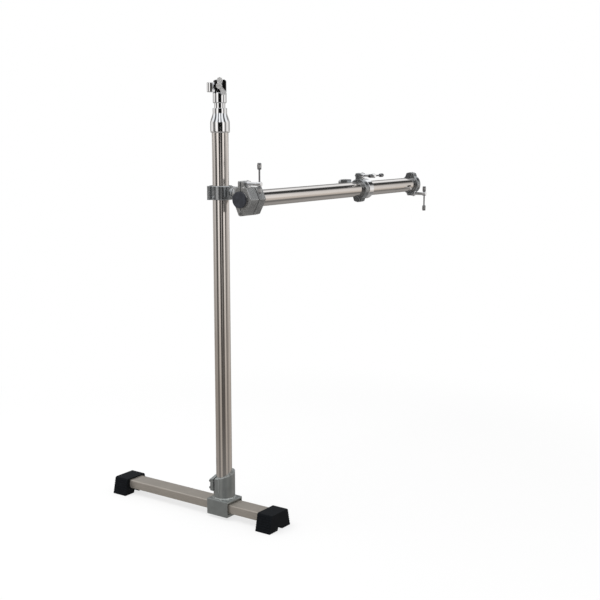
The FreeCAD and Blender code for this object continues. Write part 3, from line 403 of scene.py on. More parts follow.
@dataclass(frozen=True)
class SatinCasting(Finish):
    """Grey satin coat on a die casting, its edges lightened in the colour by wear and by a painted highlight.
    """

    colour: Colour = srgb(140, 144, 143)
    metal: float = 0.7
    rough: float = 0.38
    blotch: float = 0.82
    grain_pitch: float = 2200.0
    grain_dull: float = 0.16
    grain_depth: float = 0.05 * MM
    grain_relief: float = 0.6
    cloud_pitch: float = 45.0
    cloud_share: float = 0.7
    cloud_dull: float = 0.10
    # How far rounded edges are lightened in the colour: partly wear, partly a painted highlight.
    edge_bright: float = 2.2
    edge_least: float = 0.35
    edge_more: float = 0.5
    edge_clouds: tuple[float, float] = (0.35, 0.65)
    edge_gloss: float = 0.06

    def surface(self, board: Board) -> dict[str, Any]:
        """Pearly grey with fine grain, cloudy tone, and edges lightened by wear and by a painted highlight.

        Args:
            board: The material's nodes.

        Returns:
            Values and wires by the shader's socket names.
        """
        grain = board.noise(self.grain_pitch, detail=2.0)
        cloud = board.noise(self.cloud_pitch, detail=4.0, roughness=0.6)
        edge = board.rounded_edge()
        blend = cloud * self.cloud_share + grain * (1 - self.cloud_share)
        body = board.mix(blend.ease(*NOISE_SPAN), shaded(self.colour, self.blotch), self.colour)
        # Rounded edges are lightened in the base colour: partly real wear, partly a painted highlight.
        wear_and_highlight = edge * (self.edge_least + cloud.ease(*self.edge_clouds) * self.edge_more)
        tone = board.mix(wear_and_highlight, body, shaded(self.colour, self.edge_bright))
        grainy = self.rough + (grain - NOISE_MIDDLE) * self.grain_dull
        rough = grainy + (cloud - NOISE_MIDDLE) * self.cloud_dull - edge * self.edge_gloss
        return {"Base Color": tone, "Metallic": self.metal, "Roughness": rough,
                "Normal": board.bump(grain, self.grain_depth, self.grain_relief)}


@dataclass(frozen=True)
class BlackRubber(Finish):
    """Moulded black rubber, slightly blue, with dust in its grain."""

    colour: Colour = srgb(6, 10, 15)
    dust: Colour = srgb(26, 29, 35)
    rough: float = 0.62
    shine: float = 0.16
    grain_pitch: float = 1500.0
    grain_dull: float = 0.2
    grain_depth: float = 0.12 * MM
    grain_relief: float = 0.7
    scuff_pitch: float = 90.0
    scuff_span: tuple[float, float] = (0.52, 0.75)
    scuff_share: float = 0.35
    scuff_dull: float = 0.15
    edge_share: float = 0.30

    def surface(self, board: Board) -> dict[str, Any]:
        """Dark body with a fine moulded grain and scuffed edges.

        Args:
            board: The material's nodes.

        Returns:
            Values and wires by the shader's socket names.
        """
        grain = board.noise(self.grain_pitch, detail=3.0)
        scuff = board.noise(self.scuff_pitch, detail=5.0, roughness=0.65)
        share = scuff.ease(*self.scuff_span) * self.scuff_share + board.rounded_edge() * self.edge_share
        grainy = self.rough + (grain - NOISE_MIDDLE) * self.grain_dull
        rough = grainy + (scuff - NOISE_MIDDLE) * self.scuff_dull
        return {"Base Color": board.mix(share, self.colour, self.dust), "Roughness": rough,
                "Specular IOR Level": self.shine,
                "Normal": board.bump(grain, self.grain_depth, self.grain_relief)}


@dataclass(frozen=True)
class MouldedPlastic(Finish):
    """Dark moulded plastic with a spark-eroded texture."""

    colour: Colour = srgb(44, 46, 53)
    rough: float = 0.46
    grain_pitch: float = 1700.0
    grain_dull: float = 0.18
    grain_depth: float = 0.06 * MM
    grain_relief: float = 0.6
    rub_pitch: float = 120.0
    rub_span: tuple[float, float] = (0.44, 0.68)
    rub_bright: float = 1.7
    rub_share: float = 0.6
    rub_dull: float = 0.1
    edge_share: float = 0.3

    def surface(self, board: Board) -> dict[str, Any]:
        """Even dark plastic with a fine texture and rubbed edges.

        Args:
            board: The material's nodes.

        Returns:
            Values and wires by the shader's socket names.
        """
        grain = board.noise(self.grain_pitch, detail=2.0)
        rub = board.noise(self.rub_pitch, detail=4.0)
        share = rub.ease(*self.rub_span) * self.rub_share + board.rounded_edge() * self.edge_share
        tone = board.mix(share, self.colour, shaded(self.colour, self.rub_bright))
        grainy = self.rough + (grain - NOISE_MIDDLE) * self.grain_dull
        rough = grainy + (rub - NOISE_MIDDLE) * self.rub_dull
        return {"Base Color": tone, "Roughness": rough,
                "Normal": board.bump(grain, self.grain_depth, self.grain_relief)}


@dataclass(frozen=True)
class PlatedSteel(Finish):
    """Zinc-plated steel of the fasteners."""

    colour: Colour = srgb(150, 151, 152)
    rough: float = 0.3
    shadow: float = 0.7
    mark_pitch: float = 700.0
    mark_depth: float = 0.03 * MM
    mark_relief: float = 0.5
    patch_pitch: float = 150.0
    patch_share: float = 0.6
    dull: float = 0.15

    def surface(self, board: Board) -> dict[str, Any]:
        """Grey metal with turning marks and patches of duller plate.

        Args:
            board: The material's nodes.

        Returns:
            Values and wires by the shader's socket names.
        """
        marks = board.noise(self.mark_pitch, detail=3.0)
        patch = board.noise(self.patch_pitch, detail=3.0)
        blend = patch * self.patch_share + marks * (1 - self.patch_share)
        tone = board.mix(blend.ease(*NOISE_SPAN), shaded(self.colour, self.shadow), self.colour)
        rough = self.rough + (marks - NOISE_MIDDLE) * self.dull + (patch - NOISE_MIDDLE) * self.dull
        return {"Base Color": tone, "Metallic": 1.0, "Roughness": rough,
                "Normal": board.bump(marks, self.mark_depth, self.mark_relief)}


POST_STEEL = DrawnTube("post_steel", axis=Axis.Z)
ARM_STEEL = DrawnTube("arm_steel", axis=Axis.Y)
BASE_STEEL = DrawnTube("base_steel", axis=Axis.X, colour=srgb(184, 177, 168), rough=0.40, metal=0.7)
CHROME = ChromePlate("chrome_plate")
SATIN_CHROME = ChromePlate("satin_chrome", colour=srgb(253, 253, 253), rough=0.62)
DARK_CHROME = ChromePlate("dark_chrome", colour=srgb(150, 151, 154), rough=0.10)
LEG_CASTING = SatinCasting("leg_casting", colour=srgb(155, 159, 158), metal=0.75, rough=0.32)
GREY_CASTING = SatinCasting("grey_casting", colour=srgb(195, 196, 196), metal=0.9, rough=0.25, blotch=0.68)
DARK_CASTING = SatinCasting("dark_casting", colour=srgb(162, 165, 167), metal=0.9, rough=0.18)
RUBBER = BlackRubber("black_rubber")
PLASTIC = MouldedPlastic("plug_plastic")
NYLON = MouldedPlastic("dark_nylon", colour=srgb(70, 70, 72), rough=0.4)
STEEL = PlatedSteel("plated_steel")
BRIGHT_STEEL = PlatedSteel("bright_steel", colour=srgb(222, 223, 224), rough=0.2)


def smooth(mesh: bpy.types.Mesh) -> None:
    """Shade a mesh smoothly, with its corners kept sharp."""
    mesh.polygons.foreach_set("use_smooth", [True] * len(mesh.polygons))
    mesh.set_sharp_from_angle(angle=SMOOTH_ANGLE)


def coat(mesh: bpy.types.Mesh, finish: Finish) -> None:
    """Give a mesh one finish all over."""
    mesh.materials.clear()
    mesh.materials.append(finish.material())


def worked(mesh: bpy.types.Mesh, kind: str, settings: Mapping[str, Any]) -> bpy.types.Mesh:
    """Run one modifier on a mesh and keep its result as a plain mesh.

    Args:
        mesh: The mesh, which stays as it is.
        kind: The modifier's type.
        settings: Its settings by name, or by identifier for a node tree's inputs.

    Returns:
        The result.
    """
    carrier = bpy.data.objects.new(mesh.name, mesh)
    bpy.context.scene.collection.objects.link(carrier)
    modifier = carrier.modifiers.new(mesh.name, kind)
    for key, value in settings.items():
        if hasattr(modifier, key):
            setattr(modifier, key, value)
        else:
            modifier[key] = value
    made = bpy.data.meshes.new_from_object(carrier.evaluated_get(bpy.context.evaluated_depsgraph_get()))
    carrier.modifiers.remove(modifier)
    bpy.data.objects.remove(carrier)
    return made


def mesh_of(work: bmesh.types.BMesh, name: str) -> bpy.types.Mesh:
    """Turn a working mesh into a finished one, with its large faces shaded flat.

    Args:
        work: The working mesh, which is freed.
        name: The mesh's name.

    Returns:
        The mesh.
    """
    plain = bpy.data.meshes.new(name)
    work.to_mesh(plain)
    work.free()
    smooth(plain)
    return worked(plain, "WEIGHTED_NORMAL", {"keep_sharp": True})


def lathe(name: str, axis: tuple[float, float], profile: Sequence[tuple[float, float]],
          steps: int = 96) -> bpy.types.Mesh:
    """Turn a closed profile round an upright axis.

    Args:
        name: The mesh's name.
        axis: The axis's x and y.
        profile: Radii and heights, outside going up and inside coming down.
        steps: Sides of the round.

    Returns:
        The mesh.
    """
    work = bmesh.new()
    rings = []
    for radius, height in profile:
        ring = []
        for step in range(steps):
            angle = 2 * math.pi * step / steps
            spot = (axis[0] + radius * math.cos(angle), axis[1] + radius * math.sin(angle), height)
            ring.append(work.verts.new(spot))
        rings.append(ring)
    for low, high in zip(rings, rings[1:] + rings[:1]):
        for step in range(steps):
            after = (step + 1) % steps
            work.faces.new((low[step], low[after], high[after], high[step]))
    bmesh.ops.recalc_face_normals(work, faces=work.faces)
    return mesh_of(work, name)


def middle(node: str) -> Vector:
    """The middle of a solid's box at rest."""
    low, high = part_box(node)
    return (Vector(low) + Vector(high)) / 2


def add(name: str, mesh: bpy.types.Mesh, finish: Finish, beside: str) -> bpy.types.Object:
    """Put a finished mesh in the scene, on the body that carries a solid.

    Args:
        name: The piece's name.
        mesh: Its mesh, already in place.
        finish: Its surface.
        beside: The solid that it moves with.

    Returns:
        The piece.
    """
    coat(mesh, finish)
    piece = bpy.data.objects.new(name, mesh)
    bpy.context.scene.collection.objects.link(piece)
    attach(piece, BODY_OF[beside])
    LOG.info("%s rides on %s with %d faces", name, BODY_OF[beside], len(mesh.polygons))
    return piece


def show(name: str, mesh: bpy.types.Mesh, finish: Finish, nodes: Sequence[str]) -> bpy.types.Object:
    """Put a finished mesh in the scene in place of the solids that it stands for.

    Args:
        name: The piece's name.
        mesh: Its mesh, already in place.
        finish: Its surface.
        nodes: The solids that it replaces, all on one body.

    Returns:
        The piece.
    """
    piece = add(name, mesh, finish, nodes[0])
    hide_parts(*nodes)
    LOG.info("%s stands for %s", name, ", ".join(nodes))
    return piece


def dress(node: str, finish: Finish) -> None:
    """Give a solid that is shown as it is its finish.

    Args:
        node: The solid's name.
        finish: Its surface.
    """
    coat(frame["nodes"][node].data, finish)
    LOG.info("%s keeps its solid, in %s", node, finish.name)


def sharp_edges(base: bmesh.types.BMesh) -> set[int]:
    """Find the edges that can be rounded.

    Args:
        base: The mesh.

    Returns:
        The edges' numbers, without those that end in a slim corner of a face.
    """
    slim = {edge.index for face in base.faces for loop in face.loops if loop.calc_angle() < SLIM_CORNER
            for edge in (loop.edge, loop.link_loop_prev.edge)}
    sharp = {edge.index for edge in base.edges
             if edge.is_manifold and edge.calc_face_angle(0.0) > SHARP_ANGLE}
    return sharp - slim


def rounded(base: bmesh.types.BMesh, chosen: set[int], width: float, steps: int) -> bmesh.types.BMesh:
    """Round some of a mesh's edges and mark the faces that this makes.

    Args:
        base: The mesh, which stays as it is.
        chosen: The edges' numbers.
        width: Width of the rounding in metres.
        steps: Faces across the rounding.

    Returns:
        The rounded copy.
    """
    work = base.copy()
    work.edges.ensure_lookup_table()
    mark = work.faces.layers.float.new(EDGE_MARK)
    edges = [work.edges[index] for index in chosen]
    made = bmesh.ops.bevel(work, geom=edges, offset=width, offset_type="OFFSET", segments=steps,
                           profile=0.5, affect="EDGES", clamp_overlap=False)
    for face in made["faces"]:
        face[mark] = 1.0
    return work


def crossed_faces(work: bmesh.types.BMesh) -> list[bmesh.types.BMFace]:
    """Find the faces whose outlines cross themselves, so that their triangles cover more than the face.

    Args:
        work: The mesh.

    Returns:
        Those faces.
    """
    work.faces.index_update()
    covered = [0.0] * len(work.faces)
    for triangle in work.calc_loop_triangles():
        covered[triangle[0].face.index] += area_tri(*(loop.vert.co for loop in triangle))
    return [face for face in work.faces if covered[face.index] - face.calc_area() > CROSSED_AREA]


def troublesome(base: bmesh.types.BMesh, work: bmesh.types.BMesh, chosen: set[int],
                width: float) -> set[int]:
    """Find the edges whose rounding makes faces cross themselves.

    Args:
        base: The mesh as it was.
        work: The rounded copy.
        chosen: The numbers of the edges that were rounded.
        width: Width of the rounding in metres.

    Returns:
        The numbers of the edges to leave sharp, none if the copy is sound.
    """
    mark = work.faces.layers.float[EDGE_MARK]
    origin = work.faces.layers.int[ORIGIN_MARK]
    found: set[int] = set()
    for face in crossed_faces(work):
        around = {edge.index for edge in base.faces[face[origin]].edges} & chosen
        spot = face.calc_center_median()
        if face[mark]:
            reach = NEAR_WIDTHS * width
            near = {index for index in chosen
                    if any((vert.co - spot).length < reach for vert in base.edges[index].verts)}
        else:
            near = {index for index in around if base.edges[index].calc_length() < SHORT_EDGE}
        found |= near or around
    return found


def softened(node: str, finish: Finish, width: float, steps: int = 2) -> bpy.types.Object:
    """Copy a solid, round its sharp edges and mark them for wear and, on the castings, for a painted
    highlight.

    Args:
        node: The solid's name.
        finish: Its surface.
        width: Width of the rounding in metres, made narrower where the solid's walls are too slim for it.
        steps: Faces across the rounding.

    Returns:
        The piece that stands for the solid.
    """
    base = bmesh.new()
    base.from_mesh(frame["nodes"][node].data)
    bmesh.ops.remove_doubles(base, verts=base.verts, dist=WELD)
    bmesh.ops.dissolve_limit(base, angle_limit=FLAT_ANGLE, verts=base.verts, edges=base.edges)
    for group in (base.verts, base.edges, base.faces):
        group.index_update()
        group.ensure_lookup_table()
    origin = base.faces.layers.int.new(ORIGIN_MARK)
    for face in base.faces:
        face[origin] = face.index
    skin = BVHTree.FromBMesh(base)
    chosen = sharp_edges(base)
    work = rounded(base, chosen, width, steps)
    while True:
        spiked = any(skin.find_nearest(vert.co)[3] > width for vert in work.verts)
        left_sharp = set() if spiked else troublesome(base, work, chosen, width)
        if not spiked and not left_sharp:
            break
        work.free()
        width *= NARROWER if spiked else 1.0
        chosen -= left_sharp
        work = rounded(base, chosen, width, steps)
    LOG.info("%s has %d edges rounded by %.2f mm", node, len(chosen), width / MM)
    base.free()
    return show(f"{node}_look", mesh_of(work, f"{node}_look"), finish, [node])


class Pattern(Board):
    """A Geometry Nodes tree that sets one repeated form on marked spots."""

    def __init__(self, name: str, sizes: Mapping[str, Number]) -> None:
        """Make the tree with its named inputs.

        Args:
            name: The tree's name.
            sizes: The sizes' names with the values that they start from.
        """
        super().__init__(bpy.data.node_groups.new(name, "GeometryNodeTree"))
        self.keys: dict[str, str] = {}
        sockets = self.tree.interface
        sockets.new_socket("Geometry", in_out="OUTPUT", socket_type="NodeSocketGeometry")
        sockets.new_socket("Spots", in_out="INPUT", socket_type="NodeSocketGeometry")
        for label, value in sizes.items():
            kind = "NodeSocketInt" if isinstance(value, int) else "NodeSocketFloat"
            made = sockets.new_socket(label, in_out="INPUT", socket_type=kind)
            made.default_value = value
            self.keys[label] = made.identifier
        finish = sockets.new_socket("Finish", in_out="INPUT", socket_type="NodeSocketMaterial")
        self.keys["Finish"] = finish.identifier
        self.close(self.form())

    def size(self, label: str) -> Wire:
        """One of the tree's own inputs."""
        return self.node("NodeGroupInput", output=label)

    def form(self) -> Wire:
        """The form that is repeated, made along z from the origin."""
        raise NotImplementedError

    def moved(self, shape: Wire, height: Any) -> Wire:
        """Lift a shape along z.

        Args:
            shape: The shape.
            height: How far, a wire or a number.

        Returns:
            The lifted shape.
        """
        lift = self.node("ShaderNodeCombineXYZ", None, {"Z": height})
        return self.node("GeometryNodeTransform", None, {"Geometry": shape, "Translation": lift})

    def close(self, form: Wire) -> None:
        """End the tree: set the form on every spot along its aim, make it real and give it its finish.

        Args:
            form: The form that is repeated.
        """
        aim = self.node("GeometryNodeInputNamedAttribute", {"data_type": "FLOAT_VECTOR"},
                        {"Name": "aim"}, "Attribute")
        turn = self.node("FunctionNodeAlignRotationToVector", {"axis": "Z"}, {"Vector": aim})
        placed = self.node("GeometryNodeInstanceOnPoints", None,
                           {"Points": self.size("Spots"), "Instance": form, "Rotation": turn})
        real = self.node("GeometryNodeRealizeInstances", None, {"Geometry": placed})
        done = self.node("GeometryNodeSetMaterial", None,
                         {"Geometry": real, "Material": self.size("Finish")})
        self.node("NodeGroupOutput", None, {"Geometry": done})

    def mesh(self, name: str, spots: Sequence[tuple[Vector, Vector]], finish: Finish,
             sizes: Mapping[str, Number]) -> bpy.types.Mesh:
        """Run the tree once and keep its result as a plain mesh.

        Args:
            name: The mesh's name.
            spots: Places with the directions that the form points in.
            finish: Its surface.
            sizes: Values for the tree's named inputs.

        Returns:
            The mesh.
        """
        marks = bpy.data.meshes.new(f"{name}_spots")
        marks.from_pydata([place for place, _ in spots], [], [])
        aim = marks.attributes.new("aim", "FLOAT_VECTOR", "POINT")
        aim.data.foreach_set("vector", [value for _, way in spots for value in way])
        settings: dict[str, Any] = {"node_group": self.tree, self.keys["Finish"]: finish.material()}
        settings.update({self.keys[label]: value for label, value in sizes.items()})
        made = worked(marks, "NODES", settings)
        made.name = name
        smooth(made)
        return made


class RidgeRing(Pattern):
    """Straight grip ridges round a knob."""

    ridge_sides = 6

    def __init__(self) -> None:
        """Name the sizes."""
        super().__init__("ridge_ring", {"Count": 20, "Radius": 5.0 * MM, "Ridge": 0.4 * MM,
                                        "Length": 10.0 * MM})

    def form(self) -> Wire:
        """Make a ring of slim half-sunk rods.

        Returns:
            The ring.
        """
        ring = self.node("GeometryNodeMeshCircle", None,
                         {"Vertices": self.size("Count"), "Radius": self.size("Radius")})
        sizes = {"Vertices": self.ridge_sides, "Radius": self.size("Ridge"), "Depth": self.size("Length")}
        ridge = self.node("GeometryNodeMeshCylinder", None, sizes, "Mesh")
        return self.node("GeometryNodeInstanceOnPoints", None, {"Points": ring, "Instance": ridge})


class CapScrew(Pattern):
    """Cap screws with a hexagon well in the head."""

    head_sides = 28
    well_sides = 6
    shank_sides = 20
    bevel_share = 0.16
    weld = 0.01 * MM

    def __init__(self) -> None:
        """Name the sizes."""
        super().__init__("cap_screw", {"Head Radius": 3.5 * MM, "Head Height": 3.0 * MM, "Hexagon": 1.8 * MM,
                                       "Well": 2.0 * MM, "Shank Radius": 2.0 * MM, "Shank Length": 12.0 * MM})

    def outline(self, sides: int, radius: Wire) -> Wire:
        """A closed outline round the origin."""
        sizes = {"Resolution": sides, "Radius": radius}
        return self.node("GeometryNodeCurvePrimitiveCircle", None, sizes, "Curve")

    def plate(self, sides: int, radius: Wire) -> Wire:
        """A flat face round the origin, turned up."""
        sizes = {"Vertices": sides, "Radius": radius}
        return self.node("GeometryNodeMeshCircle", {"fill_type": "NGON"}, sizes)

    def wall(self, sides: int, low: Wire, high: Wire, depth: Wire, ends: str = "NONE") -> Wire:
        """Make a wall that stands on the origin.

        Args:
            sides: Its number of sides.
            low: Its radius at the foot.
            high: Its radius at the top.
            depth: Its height.
            ends: How its ends are closed.

        Returns:
            The wall.
        """
        sizes = {"Vertices": sides, "Radius Top": high, "Radius Bottom": low, "Depth": depth}
        return self.node("GeometryNodeMeshCone", {"fill_type": ends}, sizes, "Mesh")

    def flipped(self, shape: Wire) -> Wire:
        """A shape with its faces turned round."""
        return self.node("GeometryNodeFlipFaces", None, {"Mesh": shape})

    def form(self) -> Wire:
        """Make a bevelled head that stands on the origin, with its well, and the shank below it.

        Returns:
            The screw.
        """
        radius, height = self.size("Head Radius"), self.size("Head Height")
        hexagon, depth = self.size("Hexagon"), self.size("Well")
        shank, length = self.size("Shank Radius"), self.size("Shank Length")
        bevel = height * self.bevel_share
        rims = [self.outline(self.head_sides, radius - bevel), self.outline(self.well_sides, hexagon)]
        face = self.node("GeometryNodeFillCurve", None,
                         {"Curve": self.node("GeometryNodeJoinGeometry", None, {0: rims})})
        well = self.flipped(self.wall(self.well_sides, hexagon, hexagon, depth))
        pieces = [self.moved(face, height),
                  self.moved(self.wall(self.head_sides, radius, radius - bevel, bevel), height - bevel),
                  self.wall(self.head_sides, radius, radius, height - bevel),
                  self.flipped(self.plate(self.head_sides, radius)),
                  self.moved(well, height - depth),
                  self.moved(self.plate(self.well_sides, hexagon), height - depth),
                  self.moved(self.wall(self.shank_sides, shank, shank, length, "NGON"), 0.0 - length)]
        whole = self.node("GeometryNodeJoinGeometry", None, {0: pieces})
        return self.node("GeometryNodeMergeByDistance", None, {"Geometry": whole, "Distance": self.weld})


class Thread(Pattern):
    """Screw thread wound round a bolt."""

    turn_steps = 20
    wire_sides = 3

    def __init__(self) -> None:
        """Name the sizes."""
        super().__init__("thread", {"Radius": 4.0 * MM, "Turns": 8.0, "Height": 10.0 * MM, "Depth": 0.4 * MM})

    def form(self) -> Wire:
        """Wind a three-sided wire along a helix.

        Returns:
            The thread.
        """
        radius = self.size("Radius")
        helix = self.node("GeometryNodeCurveSpiral", None,
                          {"Resolution": self.turn_steps, "Rotations": self.size("Turns"),
                           "Start Radius": radius, "End Radius": radius, "Height": self.size("Height")})
        section = self.node("GeometryNodeCurvePrimitiveCircle", None,
                            {"Resolution": self.wire_sides, "Radius": self.size("Depth")}, "Curve")
        return self.node("GeometryNodeCurveToMesh", None,
                         {"Curve": helix, "Profile Curve": section, "Fill Caps": True})


FLOOR_GLOW: Colour = (0.25, 0.245, 0.24)
ROOF_GLOW: Colour = (0.9, 0.9, 0.9)
ROOF_SPAN = (0.60, 0.72)
WARMTH = 0.03
FOOT_WARMTH = 0.09
HIGH_WARMTH = -0.015


def grey(level: float, warmth: float = WARMTH) -> Colour:
    """A panel's colour, a little warmer than plain grey.

    Args:
        level: Its brightness from 0 to 1.
        warmth: Share by which red is lifted and blue lowered.

    Returns:
        The colour.
    """
    return (level * (1 + warmth), level, level * (1 - warmth))


def panels(edges: Sequence[tuple[float, float]], warmth: float = WARMTH) -> list[tuple[float, Colour]]:
    """Give panels their colours.

    Args:
        edges: Angles away from the camera's side, from -180 to 180, with the brightness there.
        warmth: Share by which red is lifted and blue lowered.

    Returns:
        The angles with their colours.
    """
    return [(angle, grey(level, warmth)) for angle, level in edges]


def both_sides(edges: Sequence[tuple[float, float]]) -> list[tuple[float, float]]:
    """Repeat panels on the camera's other side.

    Args:
        edges: Angles away from the camera's side, from 0 to 180, with the brightness there.

    Returns:
        Angles from -180 to 180 with the brightness there.
    """
    return [(-angle, level) for angle, level in reversed(edges) if angle > 0] + list(edges)


DEEP_PANELS = panels(both_sides((
    (0, 0.3), (60, 0.25), (100, 0.38), (112, 0.4), (119, 0.16), (124, 0.16), (131, 0.26), (139, 0.34),
    (150, 0.32), (165, 0.28), (180, 0.26))))
FOOT_PANELS = panels((
    (-180, 0.3), (-171, 0.12), (-158, 0.12), (-152, 0.42), (-141, 0.42), (-134, 0.28), (-76, 0.3),
    (-69, 0.13), (-48, 0.13), (-41, 0.42), (-21, 0.45), (-16, 0.09), (0, 0.08), (30, 0.1), (38, 0.45),
    (57, 0.42), (64, 0.17), (74, 0.18), (82, 0.33), (100, 0.33), (106, 0.3), (110, 0.55), (122, 0.55),
    (128, 0.28), (136, 0.28), (141, 0.42), (152, 0.42), (158, 0.12), (171, 0.12), (180, 0.3)), FOOT_WARMTH)
LEVEL_PANELS = panels((
    (-180, 0.24), (-171, 0.06), (-157, 0.06), (-152, 0.9), (-140, 0.9), (-134, 0.36), (-112, 0.35),
    (-100, 0.58), (-78, 0.62), (-70, 0.08), (-47, 0.06), (-40, 0.95), (-21, 1.0), (-17, 0.02), (0, 0.03),
    (7, 0.75), (14, 0.03), (31, 0.03), (37, 0.95), (55, 0.9), (61, 0.06), (73, 0.08), (81, 0.5), (101, 0.5),
    (106, 0.35), (109, 0.85), (122, 0.85), (127, 0.3), (141, 0.9), (152, 0.9), (157, 0.06), (180, 0.24)))
TOP_PANELS = panels((
    (-180, 0.24), (-171, 0.06), (-157, 0.06), (-150, 0.3), (-130, 0.35), (-114, 0.85), (-98, 0.85),
    (-86, 0.5), (-76, 0.13), (-62, 0.13), (-52, 0.5), (-46, 1.0), (-26, 1.0), (-19, 0.004), (30, 0.004),
    (38, 1.0), (52, 1.0), (60, 0.5), (66, 0.2), (76, 0.22), (84, 0.65), (94, 0.85), (108, 0.85), (121, 0.55),
    (136, 0.4), (141, 0.4), (152, 0.6), (157, 0.06), (180, 0.24)))
HIGH_PANELS = panels(both_sides((
    (0, 1.0), (10, 1.0), (13, 0.03), (22, 0.04), (28, 0.95), (50, 0.95), (56, 0.08), (74, 0.1), (83, 0.9),
    (112, 0.9), (119, 0.04), (137, 0.04), (146, 0.97), (160, 0.97), (170, 0.45), (180, 0.24))), HIGH_WARMTH)
# Each band fades in over the one below it between two heights of the mirrored direction.
PANEL_BANDS = ((-0.85, -0.65, DEEP_PANELS), (-0.42, -0.24, FOOT_PANELS), (-0.27, -0.03, LEVEL_PANELS),
               (-0.0105, -0.0075, TOP_PANELS), (0.16, 0.42, HIGH_PANELS))


@dataclass
class Studio:
    """Camera, pale floor and soft light."""

    camera_place: tuple[float, float, float] = (1.6301, -2.2711, 0.9281)
    camera_tilt: float = 80.69
    camera_heading: float = 34.79
    lens: float = 63.70
    sensor: float = 36.0
    sight: float = 50.0
    floor_radius: float = 1.5
    floor_sides: int = 96
    floor_fade: tuple[float, float] = (0.45, 0.9)
    floor_grey: Colour = (0.93, 0.93, 0.93)
    floor_white: float = 0.72
    air_grey: Colour = (0.78, 0.78, 0.78)
    white: Colour = (1.0, 1.0, 1.0)
    lamp_place: tuple[float, float, float] = (-0.6, -1.4, 2.9)
    lamp_target: tuple[float, float, float] = (0.0, 0.0, 0.4)
    lamp_width: float = 2.4
    lamp_depth: float = 1.8
    lamp_power: float = 42.0

    def camera(self) -> None:
        """Set the camera where the photograph was taken from."""
        lens = bpy.data.cameras.new("camera")
        lens.lens = self.lens
        lens.sensor_width = self.sensor
        lens.clip_end = self.sight
        eye = bpy.data.objects.new("camera", lens)
        eye.location = self.camera_place
        eye.rotation_euler = (math.radians(self.camera_tilt), 0.0, math.radians(self.camera_heading))
        bpy.context.scene.collection.objects.link(eye)
        bpy.context.scene.camera = eye

    def floor(self) -> None:
        """Lay a round pale floor that fades into the white behind it."""
        work = bmesh.new()
        bmesh.ops.create_circle(work, cap_ends=True, segments=self.floor_sides, radius=self.floor_radius)
        plate = bpy.data.meshes.new("floor")
        work.to_mesh(plate)
        work.free()
        made = bpy.data.materials.new("pale_floor")
        made.use_nodes = True
        board = Board(made.node_tree)
        ray = board.node("ShaderNodeLightPath", output="Is Camera Ray")
        where = board.node("ShaderNodeTexCoord", output="Object")
        reach = board.node("ShaderNodeVectorMath", {"operation": "LENGTH"}, {0: where}, "Value")
        fade = reach.ease(*(self.floor_radius * share for share in self.floor_fade))
        matt = board.node("ShaderNodeBsdfDiffuse", None, {"Color": self.floor_grey})
        white = board.node("ShaderNodeEmission", None, {"Color": self.white, "Strength": 1.0})
        share = self.floor_white + fade * (1 - self.floor_white)
        seen = board.node("ShaderNodeMixShader", None, {0: share, 1: matt, 2: white})
        whole = board.node("ShaderNodeMixShader", None, {0: ray, 1: matt, 2: seen})
        board.node("ShaderNodeOutputMaterial", None, {"Surface": whole})
        plate.materials.append(made)
        floor = bpy.data.objects.new("floor", plate)
        floor.visible_glossy = False
        bpy.context.scene.collection.objects.link(floor)

    def world(self) -> None:
        """Surround the rack with white, and with studio panels for the metal to mirror."""
        world = bpy.data.worlds.new("studio")
        bpy.context.scene.world = world
        world.use_nodes = True
        board = Board(world.node_tree)
        way = board.node("ShaderNodeTexCoord", output="Generated")
        heading = math.radians(self.camera_heading)
        front = (math.sin(heading), -math.cos(heading), 0.0)
        right = (math.cos(heading), math.sin(heading), 0.0)
        dot = {"operation": "DOT_PRODUCT"}
        ahead = board.node("ShaderNodeVectorMath", dot, {0: way, 1: front}, "Value")
        aside = board.node("ShaderNodeVectorMath", dot, {0: way, 1: right}, "Value")
        height = board.node("ShaderNodeSeparateXYZ", None, {0: way}, "Z")
        turn = board.node("ShaderNodeMath", {"operation": "ARCTAN2"}, {0: aside, 1: ahead})
        share = turn / (2 * math.pi) + 0.5
        mirrored: Any = FLOOR_GLOW
        for low, high, edges in PANEL_BANDS:
            stops = [((angle + 180) / 360, colour) for angle, colour in edges]
            band = board.node("ShaderNodeValToRGB", {"stops": stops}, {"Fac": share}, "Color")
            mirrored = board.mix(height.ease(low, high), mirrored, band)
        mirrored = board.mix(height.ease(*ROOF_SPAN), mirrored, ROOF_GLOW)
        glossy = board.node("ShaderNodeLightPath", output="Is Glossy Ray")
        camera = board.node("ShaderNodeLightPath", output="Is Camera Ray")
        seen = board.mix(glossy, board.mix(camera, self.air_grey, self.white), mirrored)
        back = board.node("ShaderNodeBackground", None, {"Color": seen, "Strength": 1.0})
        board.node("ShaderNodeOutputWorld", None, {"Surface": back})

    def lamp(self) -> None:
        """Hang one large soft lamp above and in front."""
        light = bpy.data.lights.new("soft_lamp", "AREA")
        light.shape = "RECTANGLE"
        light.size = self.lamp_width
        light.size_y = self.lamp_depth
        light.energy = self.lamp_power
        lamp = bpy.data.objects.new("soft_lamp", light)
        lamp.location = self.lamp_place
        lamp.rotation_euler = (Vector(self.lamp_target) - lamp.location).to_track_quat("-Z", "Y").to_euler()
        lamp.visible_glossy = False
        bpy.context.scene.collection.objects.link(lamp)

    def build(self) -> None:
        """Make the whole studio."""
        bpy.context.scene.view_settings.view_transform = "Standard"
        self.camera()
        self.floor()
        self.world()
        self.lamp()


